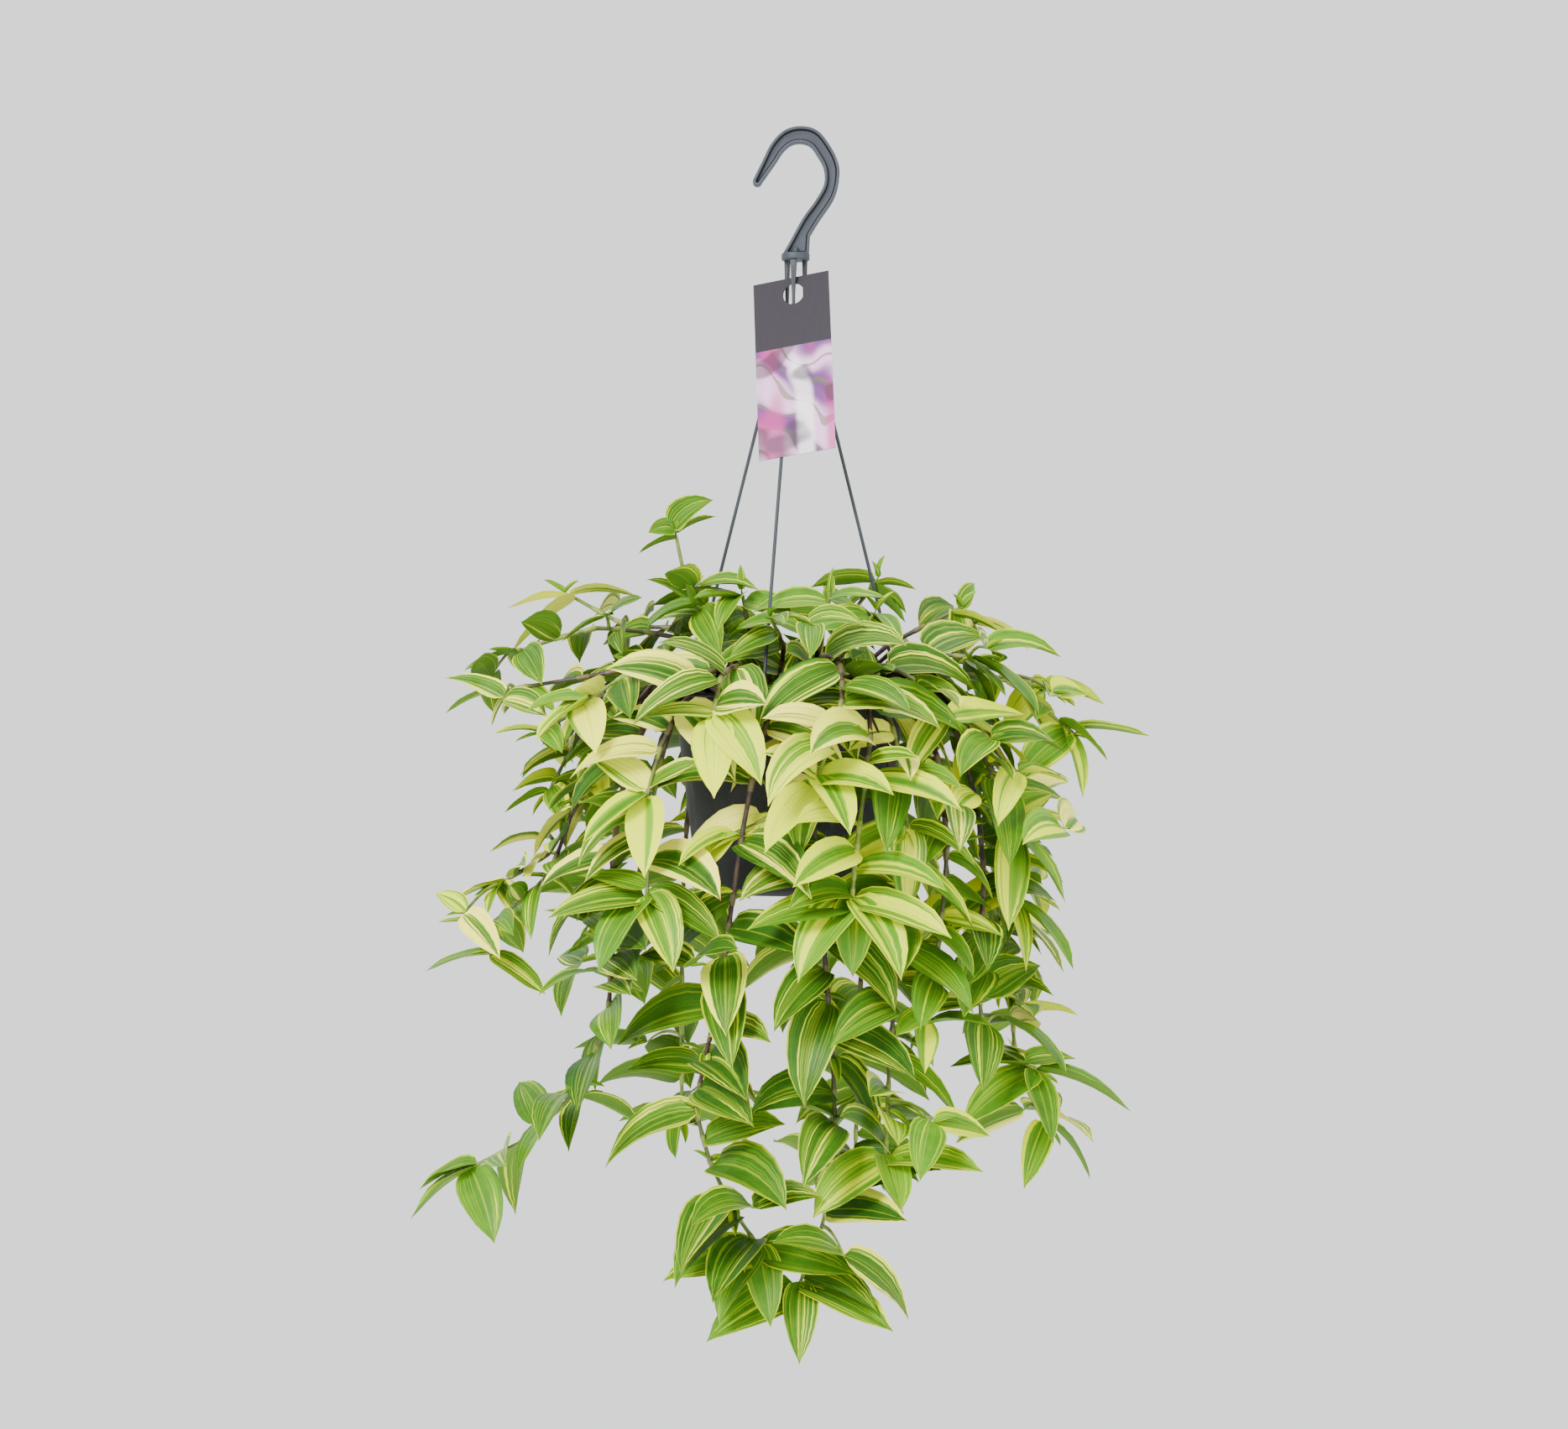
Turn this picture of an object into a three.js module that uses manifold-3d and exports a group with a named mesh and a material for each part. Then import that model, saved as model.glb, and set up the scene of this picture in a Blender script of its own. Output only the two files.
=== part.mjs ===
// A variegated tradescantia that trails out of a hanging nursery pot.
// Millimetres, +Z up, front toward -Y. The origin is the inner crown of the hook, where it hangs.
import * as THREE from 'three';
import { mergeVertices } from 'three/addons/utils/BufferGeometryUtils.js';
import Module from 'manifold-3d';

// Driving dimensions
const GAP = 0.3; // clearance between neighbouring pieces
const RIM_CENTRE = new THREE.Vector3(-7, 0, -351); // middle of the pot's mouth
const POT = {
  mouthRadius: 74.0, footRadius: 58.5, height: 126, wall: 1.4, footRound: 4,
  flangeRadius: 80, flangeThickness: 2.2, skirt: 7, sides: 24,
  drainHoles: 6, drainRadius: 4.5, drainCircle: 40,
};
const SOIL_DEPTH_BELOW_RIM = 15;
const HOOK = {
  thickness: 7, ribWidth: 1.8, recess: 2.3, plateRadius: 9, plateX: -3.2, plateTop: -70.4,
  plateBottom: -74.6,
};
const ROD = {
  radius: 1.1, topCircle: 6.4, rimCircle: 77.2, headWidth: 4.4, headDepth: 2.2, plug: 2,
  bend: -103, barbRadius: 1.8, barbHeight: 3,
};
const ROD_ANGLES = { rod_left: 146, rod_front: 258, rod_right: 24 }; // degrees round the pot, 0 = +X
const TAG = {
  width: 51, height: 122, thickness: 0.6, holeRadius: 7, holeDown: 11.5, holeAcross: 27,
  across: [0.936, -0.325, 0.138], // along its top edge, from the left corner to the right
};
const STEM = { radius: 2.1, sides: 3, rootDepth: 22, holeRadius: 2.8, spacing: 48, tries: 150 };
const LEAF = { thickness: 0.7, shoulder: 0.2, belly: 0.6, tries: 14, holdOff: 0.3 };

// The stems: leaf length, kind of leaf, and the points that each passes over the soil, from the
// middle of the pot's mouth. A fan row is a leaf at the tip: bearing, rise at its root, length.
const STEMS = [
  { leaf: 58, kind: 'cream', spacing: 31, through: [[-46, -72, 14], [-74, -102, -24], [-86, -112, -64]],
    fan: [[270, -45, 58], [205, -25, 52], [150, 40, 50], [330, 35, 40]] },
  { leaf: 58, kind: 'cream', spacing: 28, through: [[-32, -76, 16], [-42, -104, 8], [-46, -114, -16]],
    fan: [[272, -50, 56], [190, 10, 44], [312, -25, 62]] },
  { leaf: 62, kind: 'lime', spacing: 34, through: [[76, -36, 12], [116, -48, -30], [138, -50, -88]],
    fan: [[262, -55, 66], [330, -35, 60], [160, 40, 44], [40, 35, 44]] },
  { leaf: 64, kind: 'lime', spacing: 27, through: [[40, -76, 10], [48, -112, -24], [42, -124, -72],
    [36, -124, -128]],
    fan: [[200, 0, 68], [342, 0, 66], [220, -30, 64], [320, -30, 62], [272, -60, 50]] },
  { leaf: 64, kind: 'cream', spacing: 26, through: [[20, -76, 22], [32, -106, 12], [28, -124, -18],
    [14, -128, -56]],
    fan: [[228, -30, 60], [340, -5, 62], [275, -50, 60], [200, 25, 46], [312, -35, 60]] },
  { leaf: 64, kind: 'cream', spacing: 31, through: [[58, -62, 16], [84, -76, 2], [98, -80, -16]],
    fan: [[335, -5, 66], [345, -35, 56], [262, -40, 60], [230, -70, 60]] },
  { leaf: 66, kind: 'green', spacing: 38, through: [[-5, -86, 10], [-24, -112, -60], [-38, -102, -150],
    [-46, -88, -205], [-58, -78, -245], [-44, -70, -300], [-16, -60, -346]],
    fan: [[198, 0, 66], [338, 0, 66], [225, -30, 56], [290, -45, 54]] },
  { leaf: 64, kind: 'green', spacing: 36, through: [[14, -86, 8], [14, -108, -70], [20, -94, -170],
    [26, -76, -250], [24, -62, -310], [4, -48, -374]],
    fan: [[202, -12, 68], [336, -8, 68], [268, -45, 54], [20, 0, 46]] },
  { leaf: 60, kind: 'green', through: [[-62, -56, 12], [-98, -78, -40], [-110, -78, -130],
    [-108, -70, -176], [-120, -58, -226], [-144, -46, -260], [-170, -40, -282], [-202, -36, -298]],
    fan: [[300, -35, 56], [200, -22, 52], [175, -5, 42]] },
  { leaf: 64, kind: 'green', through: [[72, -44, 14], [106, -54, -30], [120, -52, -110],
    [116, -48, -190], [132, -42, -232], [158, -34, -238]],
    fan: [[208, -15, 66], [350, -5, 66], [290, -45, 54], [180, 10, 50], [30, 10, 40]] },
  { leaf: 64, kind: 'lime', spacing: 34, through: [[32, -82, 8], [62, -102, -50], [66, -98, -118],
    [62, -90, -165], [60, -78, -225], [56, -66, -292]],
    fan: [[350, -5, 70], [200, -15, 60], [300, -40, 50]] },
  { leaf: 60, kind: 'green', spacing: 32, through: [[-56, -66, 10], [-80, -96, -50], [-86, -104, -126]],
    fan: [[192, 5, 62], [226, -25, 60], [300, -30, 58], [346, -20, 56], [172, 20, 44]] },
  { leaf: 58, kind: 'lime', through: [[84, 2, 14], [140, 6, 8], [182, 4, -26]],
    fan: [[215, -20, 56], [0, 5, 54], [300, -50, 52], [330, -15, 44]] },
  { leaf: 54, kind: 'cream', through: [[-66, -45, 16], [-108, -64, 8], [-128, -74, -8]],
    fan: [[300, -35, 60], [230, -15, 50], [180, 10, 40]] },
  { leaf: 52, kind: 'cream', through: [[-60, 25, 40], [-112, 32, 46], [-146, 36, 66]],
    fan: [[355, 15, 46], [185, 5, 44], [215, -25, 60]] },
  { leaf: 34, kind: 'green', bare: 0.6, through: [[-47, 12, 14], [-64, 14, 60], [-74, 16, 106]],
    fan: [[15, 40, 30], [195, -5, 28]] },
  { leaf: 42, kind: 'lime', through: [[28, 30, 34], [48, 38, 58], [58, 42, 76]],
    fan: [[180, 12, 44], [10, 15, 30], [345, -10, 30], [215, -20, 40]] },
  { leaf: 46, kind: 'cream', through: [[62, 12, 30], [100, 20, 40], [112, 24, 56]],
    fan: [[60, 55, 30], [270, -45, 42], [350, -5, 38]] },
  { leaf: 64, kind: 'green', through: [[64, -20, 26], [100, -30, 34], [118, -34, 22]],
    fan: [[330, -20, 60], [285, -30, 50]] },
  { leaf: 44, kind: 'lime', through: [[68, -56, 8], [94, -84, -60], [92, -84, -140], [82, -74, -206]],
    fan: [[330, 20, 48], [265, -50, 36], [200, -5, 40]] },
  { leaf: 60, kind: 'lime', through: [[82, -16, 12], [128, -22, -40], [138, -22, -132]],
    fan: [[330, -25, 64], [290, -45, 56], [215, -10, 56]] },
  { leaf: 60, kind: 'cream', spacing: 27, through: [[5, -84, 16], [0, -98, -30], [-10, -102, -76],
    [-34, -108, -88]],
    fan: [[275, -50, 58], [200, -15, 48], [318, 0, 52]] },
  { leaf: 58, kind: 'cream', spacing: 28, through: [[48, -70, 12], [66, -96, -36], [70, -108, -84]],
    fan: [[190, -10, 54], [0, -10, 50], [265, -60, 56]] },
  { leaf: 42, kind: 'green', through: [[-72, -18, 20], [-130, -22, 10], [-180, -22, 2]],
    fan: [[185, 0, 44], [205, -35, 30], [340, -10, 30]] },
  { leaf: 48, kind: 'green', through: [[-66, 0, 34], [-120, -4, 42], [-176, -6, 26]] },
  { leaf: 40, kind: 'lime', through: [[-76, -28, 12], [-124, -38, -8], [-158, -36, -28]] },
  { leaf: 44, kind: 'cream', through: [[-86, -2, 8], [-128, -8, -60], [-160, -14, -112], [-186, -18, -122]],
    fan: [[330, -30, 36], [270, -40, 34], [190, -10, 34]] },
  { leaf: 44, kind: 'lime', through: [[-80, -12, 12], [-124, -26, -60], [-160, -34, -130], [-190, -36, -150]] },
  { leaf: 42, kind: 'cream', through: [[-84, 8, 10], [-130, 12, -20], [-156, 14, -66]] },
  { leaf: 44, kind: 'lime', through: [[-4, -52, 28], [-7, -74, 48], [-12, -92, 46]] },
  { leaf: 46, kind: 'lime', through: [[-22, -28, 26], [-30, -40, 64]],
    fan: [[262, -30, 46], [200, 0, 40], [330, 0, 40]] },
  { leaf: 52, kind: 'lime', through: [[18, -36, 26], [26, -50, 62]] },
  { leaf: 50, kind: 'lime', through: [[34, -42, 26], [54, -56, 50]] },
  { leaf: 58, kind: 'cream', through: [[68, 42, 18], [126, 44, 20], [168, 42, 2]] },
  { leaf: 56, kind: 'cream', through: [[82, 20, 12], [126, 26, -50], [140, 20, -150], [146, 10, -240],
    [164, 4, -276]], fan: [[240, -40, 50], [345, -30, 50]] },
  { leaf: 60, kind: 'green', through: [[84, 8, 10], [122, 12, -50], [132, 14, -130], [136, 14, -190]] },
  { leaf: 44, kind: 'green', through: [[-84, 16, 8], [-120, 20, -60], [-130, 20, -150]] },
  { leaf: 56, kind: 'lime', through: [[30, 76, 12], [48, 108, -10], [58, 124, -52]] },
  { leaf: 58, kind: 'cream', through: [[-16, 80, 12], [-30, 116, -30], [-38, 130, -104]] },
  { leaf: 58, kind: 'lime', through: [[52, 66, 12], [92, 90, -50], [110, 92, -146]] },
  { leaf: 58, kind: 'green', through: [[-60, 60, 14], [-94, 86, -60], [-104, 92, -186]] },
  { leaf: 60, kind: 'green', through: [[6, 84, 10], [10, 126, -60], [10, 132, -214]] },
  { leaf: 54, kind: 'cream', through: [[66, 54, 10], [116, 72, -20], [148, 74, -84]] },
  { leaf: 52, kind: 'lime', through: [[-77, 35, 14], [-122, 54, 6], [-150, 64, -36]] },
  { leaf: 60, kind: 'green', through: [[40, 70, 10], [50, 104, -90], [44, 98, -320]] },
  { leaf: 60, kind: 'green', through: [[-51, 68, 10], [-70, 100, -100], [-72, 86, -284]] },
  { leaf: 50, kind: 'lime', through: [[-40, 30, 26], [-60, 44, 60]] },
  { leaf: 50, kind: 'cream', through: [[20, 46, 26], [24, 60, 60]] },
  { leaf: 50, kind: 'green', through: [[-34, -16, 28], [-60, -32, 56]] },
];
const LEAF_COLOURS = { cream: 0xc9cf86, lime: 0x9dbb3c, green: 0x5f9a33 };

const wasm = await Module();
wasm.setup();
const UP = new THREE.Vector3(0, 0, 1);
const rad = THREE.MathUtils.degToRad;

function solidOf(geometry) {
  const bare = geometry.clone();
  bare.deleteAttribute('normal');
  bare.deleteAttribute('uv');
  const merged = mergeVertices(bare, 1e-4);
  return new wasm.Manifold(new wasm.Mesh({
    numProp: 3,
    vertProperties: new Float32Array(merged.attributes.position.array),
    triVerts: new Uint32Array(merged.index.array),
  }));
}

function geometryOf(solid) {
  const mesh = solid.getMesh();
  const geometry = new THREE.BufferGeometry();
  geometry.setAttribute('position', new THREE.BufferAttribute(mesh.vertProperties, 3));
  geometry.setIndex(new THREE.BufferAttribute(mesh.triVerts, 1));
  geometry.computeVertexNormals();
  return geometry;
}

function meshOf(name, solid, colour, roughness) {
  const material = new THREE.MeshStandardMaterial({ color: colour, roughness, metalness: 0 });
  const mesh = new THREE.Mesh(geometryOf(solid), material);
  mesh.name = name;
  return mesh;
}

const fromRim = (x, y, z) => new THREE.Vector3(x, y, z).add(RIM_CENTRE);
const bearing = (degrees) => new THREE.Vector3(Math.cos(rad(degrees)), Math.sin(rad(degrees)), 0);

// A straight-sided line through joints, with one ring of an extruded section at each joint.
class JointedLine extends THREE.Curve {
  constructor(joints) {
    super();
    this.joints = joints;
  }

  getPoint(t, target = new THREE.Vector3()) {
    const place = t * (this.joints.length - 1);
    const i = Math.min(Math.floor(place), this.joints.length - 2);
    return target.copy(this.joints[i]).lerp(this.joints[i + 1], place - i);
  }

  getPointAt(u, target) {
    return this.getPoint(u, target);
  }

  getTangentAt(u, target = new THREE.Vector3()) {
    const last = this.joints.length - 1;
    const i = Math.round(u * last);
    const before = this.joints[Math.max(i - 1, 0)];
    const after = this.joints[Math.min(i + 1, last)];
    return target.copy(after).sub(before).normalize();
  }
}

function polygon(sides, radius) {
  const corner = (i) => new THREE.Vector2(Math.cos(2 * Math.PI * i / sides), Math.sin(2 * Math.PI * i / sides))
    .multiplyScalar(radius);
  return new THREE.Shape(Array.from({ length: sides }, (_, i) => corner(i)));
}

function tube(joints, radius, sides) {
  const path = new JointedLine(joints);
  return solidOf(new THREE.ExtrudeGeometry(polygon(sides, radius), {
    steps: joints.length - 1, extrudePath: path, bevelEnabled: false,
  }));
}

function lathe(profile, sides) {
  const geometry = new THREE.LatheGeometry(profile.map(([r, z]) => new THREE.Vector2(r, z)), sides);
  geometry.rotateX(Math.PI / 2);
  return solidOf(geometry);
}

function cylinder(radius, length, sides, centre) {
  const geometry = new THREE.CylinderGeometry(radius, radius, length, sides);
  geometry.rotateX(Math.PI / 2);
  geometry.translate(centre.x, centre.y, centre.z);
  return solidOf(geometry);
}

// Pot and soil

function potRadiusAt(depth) {
  return THREE.MathUtils.lerp(POT.mouthRadius, POT.footRadius, depth / POT.height);
}

function makePot() {
  const { height, wall, footRound, flangeRadius, flangeThickness, skirt } = POT;
  const floor = -height + wall + 0.6;
  let pot = lathe([
    [0, -height],
    [POT.footRadius - footRound, -height],
    [potRadiusAt(height - footRound), -height + footRound],
    [potRadiusAt(skirt + 1.5), -skirt - 1.5],
    [POT.mouthRadius + 1, -skirt],
    [POT.mouthRadius + 1, -flangeThickness],
    [flangeRadius, -flangeThickness],
    [flangeRadius, 0],
    [POT.mouthRadius - wall, 0],
    [potRadiusAt(skirt) - wall, -skirt],
    [potRadiusAt(height - footRound) - wall, -height + footRound + 1],
    [POT.footRadius - footRound - 1.4, floor],
    [0, floor],
  ], POT.sides).translate(RIM_CENTRE.toArray());
  for (let i = 0; i < POT.drainHoles; i += 1) {
    const centre = bearing(360 * i / POT.drainHoles).multiplyScalar(POT.drainCircle);
    const hole = cylinder(POT.drainRadius, 12, 6, fromRim(centre.x, centre.y, -height));
    pot = pot.subtract(hole);
  }
  for (const angle of Object.values(ROD_ANGLES)) {
    const place = bearing(angle).multiplyScalar(ROD.rimCircle);
    pot = pot.subtract(cylinder(ROD.radius + GAP + 0.2, 12, 6, fromRim(place.x, place.y, 0)));
  }
  return pot;
}

function makeSoil(roots) {
  const top = -SOIL_DEPTH_BELOW_RIM;
  const bottom = -POT.height + POT.wall + 0.6 + GAP;
  const clear = POT.wall + GAP + 0.1;
  let soil = lathe([
    [0, bottom],
    [POT.footRadius - POT.footRound - 2.6, bottom],
    [potRadiusAt(POT.height - POT.footRound) - clear, bottom + POT.footRound],
    [potRadiusAt(-top) - clear, top - 2],
    [potRadiusAt(-top) - clear - 12, top + 1],
    [30, top + 3],
    [0, top + 1],
  ], POT.sides).translate(RIM_CENTRE.toArray());
  for (const { root, mouth } of roots) {
    const along = mouth.clone().sub(root).normalize();
    const hole = [root.clone().addScaledVector(along, -GAP), mouth.clone().addScaledVector(along, 14)];
    soil = soil.subtract(tube(hole, STEM.holeRadius, STEM.sides));
  }
  return soil;
}

// Hook, rods and tag

const HOOK_BACK = [[-30.4, -23.8], [-24.4, -11.7], [-18.7, -0.5], [-10.5, 7.8], [0, 10.5], [10.6, 7.8],
  [18.8, -2], [24.1, -13.2], [24.5, -23.8], [21.1, -35.8], [12.1, -49.3], [6.1, -59.1]];
const HOOK_INNER = [[-6, -61.3], [1.5, -47.8], [9.1, -37.3], [14.8, -26.8], [14.8, -16.3], [10.6, -8],
  [6.1, -2], [0, 0], [-6, -1.2], [-11.2, -5.7], [-15.7, -12.5], [-24.7, -25.3]];

function hookOutline(divisions) {
  const flat = (points) => points.map(([x, z]) => new THREE.Vector2(x, z));
  const shape = new THREE.Shape();
  shape.moveTo(...HOOK_BACK[0]);
  shape.splineThru(flat(HOOK_BACK.slice(1)));
  shape.lineTo(5.3, HOOK.plateTop - 1);
  shape.lineTo(-11.7, HOOK.plateTop - 1);
  shape.lineTo(...HOOK_INNER[0]);
  shape.splineThru(flat(HOOK_INNER.slice(1)));
  const [inner, back] = flat([HOOK_INNER.at(-1), HOOK_BACK[0]]);
  const middle = inner.clone().add(back).divideScalar(2);
  const turn = inner.clone().sub(middle).angle();
  shape.absarc(middle.x, middle.y, inner.distanceTo(middle), turn, turn - Math.PI, true);
  return shape.getPoints(divisions);
}

function inset(outline, distance) {
  const clockwise = THREE.ShapeUtils.isClockWise(outline) ? -1 : 1;
  const count = outline.length;
  return outline.map((point, i) => {
    const before = outline[(i + count - 1) % count];
    const after = outline[(i + 1) % count];
    const inward = (from, to) => {
      const along = to.clone().sub(from).normalize();
      return new THREE.Vector2(-along.y, along.x).multiplyScalar(clockwise);
    };
    const first = inward(before, point);
    const second = inward(point, after);
    const both = first.clone().add(second).multiplyScalar(distance / (1 + first.dot(second)));
    return both.add(point);
  });
}

// An outline in the X-Z plane, made solid from y = near to y = far.
function slab(points, near, far) {
  const geometry = new THREE.ExtrudeGeometry(new THREE.Shape(points), { depth: far - near, bevelEnabled: false });
  geometry.rotateX(Math.PI / 2);
  geometry.translate(0, far, 0);
  return solidOf(geometry);
}

function dropRepeats(points) {
  return points.filter((point, i) => point.distanceTo(points[(i + 1) % points.length]) > 0.05);
}

function makeHook() {
  const half = HOOK.thickness / 2;
  const outline = dropRepeats(hookOutline(2));
  const web = inset(dropRepeats(hookOutline(1)), HOOK.ribWidth);
  let hook = slab(outline, -half, half);
  hook = hook.subtract(slab(web, -half - 1, -half + HOOK.recess));
  hook = hook.subtract(slab(web, half - HOOK.recess, half + 1));
  const plateMiddle = (HOOK.plateTop + HOOK.plateBottom) / 2;
  hook = hook.add(cylinder(HOOK.plateRadius, HOOK.plateTop - HOOK.plateBottom, 20,
    new THREE.Vector3(HOOK.plateX, 0, plateMiddle)));
  const boss = new THREE.BoxGeometry(2.6, HOOK.thickness, 4);
  boss.translate(HOOK.plateX, 0, HOOK.plateTop + 1.8);
  hook = hook.add(solidOf(boss));
  for (const angle of Object.values(ROD_ANGLES)) {
    hook = hook.subtract(rodHead(angle, GAP));
  }
  return hook;
}

// The flat wedge at a rod's upper end. Its plug stands in a pocket under the hook's plate.
function rodHead(angle, grow) {
  const wide = ROD.headWidth / 2 + grow;
  const thin = ROD.radius * 0.8;
  const top = HOOK.plateBottom + ROD.plug + grow;
  const shape = new THREE.Shape([
    new THREE.Vector2(-wide, top), new THREE.Vector2(-wide, HOOK.plateBottom - 1),
    new THREE.Vector2(-thin, ROD.bend + 3), new THREE.Vector2(thin, ROD.bend + 3),
    new THREE.Vector2(wide, HOOK.plateBottom - 1), new THREE.Vector2(wide, top),
  ]);
  const depth = ROD.headDepth + 2 * grow;
  const geometry = new THREE.ExtrudeGeometry(shape, { depth, bevelEnabled: false });
  geometry.translate(0, 0, -depth / 2);
  geometry.rotateX(Math.PI / 2);
  geometry.rotateZ(rad(angle - 90));
  const place = bearing(angle).multiplyScalar(ROD.topCircle);
  geometry.translate(HOOK.plateX + place.x, place.y, 0);
  return solidOf(geometry);
}

// The points of a rod: under the plate, the bend, above the flange and below it.
function rodWay(angle) {
  const out = bearing(angle);
  const top = out.clone().multiplyScalar(ROD.topCircle).add(new THREE.Vector3(HOOK.plateX, 0, 0));
  const rim = out.clone().multiplyScalar(ROD.rimCircle).add(RIM_CENTRE);
  const underFlange = rim.z - POT.flangeThickness - GAP;
  return [
    top.clone().setZ(HOOK.plateBottom - 4),
    top.clone().setZ(ROD.bend),
    rim.clone().setZ(rim.z + 4),
    rim.clone().setZ(underFlange - ROD.barbHeight),
  ];
}

function makeRod(angle) {
  const way = rodWay(angle);
  const barb = new THREE.CylinderGeometry(ROD.barbRadius, ROD.radius * 0.9, ROD.barbHeight, 5);
  barb.rotateX(Math.PI / 2);
  barb.translate(way[3].x, way[3].y, way[3].z + ROD.barbHeight / 2);
  return tube(way, ROD.radius, 5).add(rodHead(angle, 0)).add(solidOf(barb));
}

// The card hangs on the front rod: the rod passes before its top edge, goes through the hole at its
// bend, and runs on close behind the card.
function makeTag() {
  const shape = new THREE.Shape([
    new THREE.Vector2(0, 0), new THREE.Vector2(0, -TAG.height),
    new THREE.Vector2(TAG.width, -TAG.height), new THREE.Vector2(TAG.width, 0),
  ]);
  const hole = new THREE.Path();
  hole.absarc(TAG.holeAcross, -TAG.holeDown, TAG.holeRadius, 0, 2 * Math.PI, true);
  shape.holes.push(hole);
  const geometry = new THREE.ExtrudeGeometry(shape, {
    depth: TAG.thickness, bevelEnabled: false, curveSegments: 6,
  });
  geometry.translate(0, 0, -TAG.thickness / 2);
  const [, bend, foot] = rodWay(ROD_ANGLES.rod_front);
  const across = new THREE.Vector3(...TAG.across).normalize();
  const facing = foot.clone().sub(bend).cross(across).normalize();
  const up = facing.clone().cross(across);
  const apart = ROD.radius + GAP + TAG.thickness / 2;
  const corner = bend.clone().addScaledVector(UP, apart / facing.z)
    .addScaledVector(across, -TAG.holeAcross).addScaledVector(up, TAG.holeDown);
  geometry.applyMatrix4(new THREE.Matrix4().makeBasis(across, up, facing).setPosition(corner));
  return solidOf(geometry);
}

// Stems and leaves

class Draws {
  constructor(seed) {
    this.state = (seed * 48611 + 1009) % 2147483647;
    for (let i = 0; i < 5; i += 1) this.next();
  }

  next() {
    this.state = (this.state * 16807) % 2147483647;
    return this.state / 2147483647;
  }

  between(low, high) {
    return low + (high - low) * this.next();
  }
}

// A smooth curve through the points. It has a joint at the first two, which lead it out of the soil
// and over the rim, and from there on at about one spacing from each other.
function jointsAlong(points, spacing) {
  const steps = 40;
  const at = (i) => points[Math.min(Math.max(i, 0), points.length - 1)];
  const joints = [points[0].clone(), points[1].clone()];
  let travelled = 0;
  let last = points[1].clone();
  const whole = [];
  for (let i = 1; i < points.length - 1; i += 1) {
    for (let s = 1; s <= steps; s += 1) {
      const t = s / steps;
      const place = new THREE.Vector3();
      place.addScaledVector(at(i - 1), -0.5 * t * t * t + t * t - 0.5 * t);
      place.addScaledVector(at(i), 1.5 * t * t * t - 2.5 * t * t + 1);
      place.addScaledVector(at(i + 1), -1.5 * t * t * t + 2 * t * t + 0.5 * t);
      place.addScaledVector(at(i + 2), 0.5 * t * t * t - 0.5 * t * t);
      travelled += place.distanceTo(last);
      last = place;
      whole.push([travelled, place]);
    }
  }
  const count = Math.max(1, Math.round(travelled / spacing));
  let next = 1;
  for (const [distance, place] of whole) {
    if (next < count && distance >= travelled * next / count) {
      joints.push(place);
      next += 1;
    }
  }
  joints.push(points[points.length - 1].clone());
  return joints;
}

// The way of a stem on its given try: root in the soil, mouth, and joints out to the tip.
function stemWay(index, spec, attempt) {
  const draws = new Draws(31 * index + 7 * attempt + 3);
  const first = spec.through[0];
  const heading = Math.atan2(first[1], first[0]) * 180 / Math.PI;
  const rootAngle = heading + draws.between(-16, 16);
  const reach = Math.min(Math.hypot(first[0], first[1]) * 0.8, 54);
  const rootRadius = draws.between(0.3, 1) * reach;
  const rootPlace = bearing(rootAngle).multiplyScalar(rootRadius);
  const root = fromRim(rootPlace.x, rootPlace.y, -SOIL_DEPTH_BELOW_RIM - STEM.rootDepth);
  const mouthPlace = bearing(rootAngle).multiplyScalar(rootRadius + 2);
  const mouth = fromRim(mouthPlace.x, mouthPlace.y, -SOIL_DEPTH_BELOW_RIM + 6);
  const shift = Math.min(attempt, 24) / 4;
  const through = spec.through.map(([x, y, z]) => fromRim(
    x + draws.between(-shift, shift), y + draws.between(-shift, shift), z + draws.between(0, shift * 1.5)));
  const spacing = (spec.spacing || STEM.spacing) * draws.between(0.9, 1.1);
  const joints = jointsAlong([mouth, ...through], spacing);
  return { root, mouth, joints, line: [root, ...joints] };
}

// The poses that a leaf may take: its own first, then turned, raised and smaller ones.
function leafPose(wish, attempt) {
  const side = attempt % 2 === 0 ? -1 : 1;
  const turned = side * Math.ceil(attempt / 2) * 17;
  return {
    ...wish,
    bearing: wish.bearing + turned,
    pitch: wish.pitch + (attempt % 3) * 9,
    length: wish.length * (1 - 0.03 * attempt),
  };
}

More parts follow.
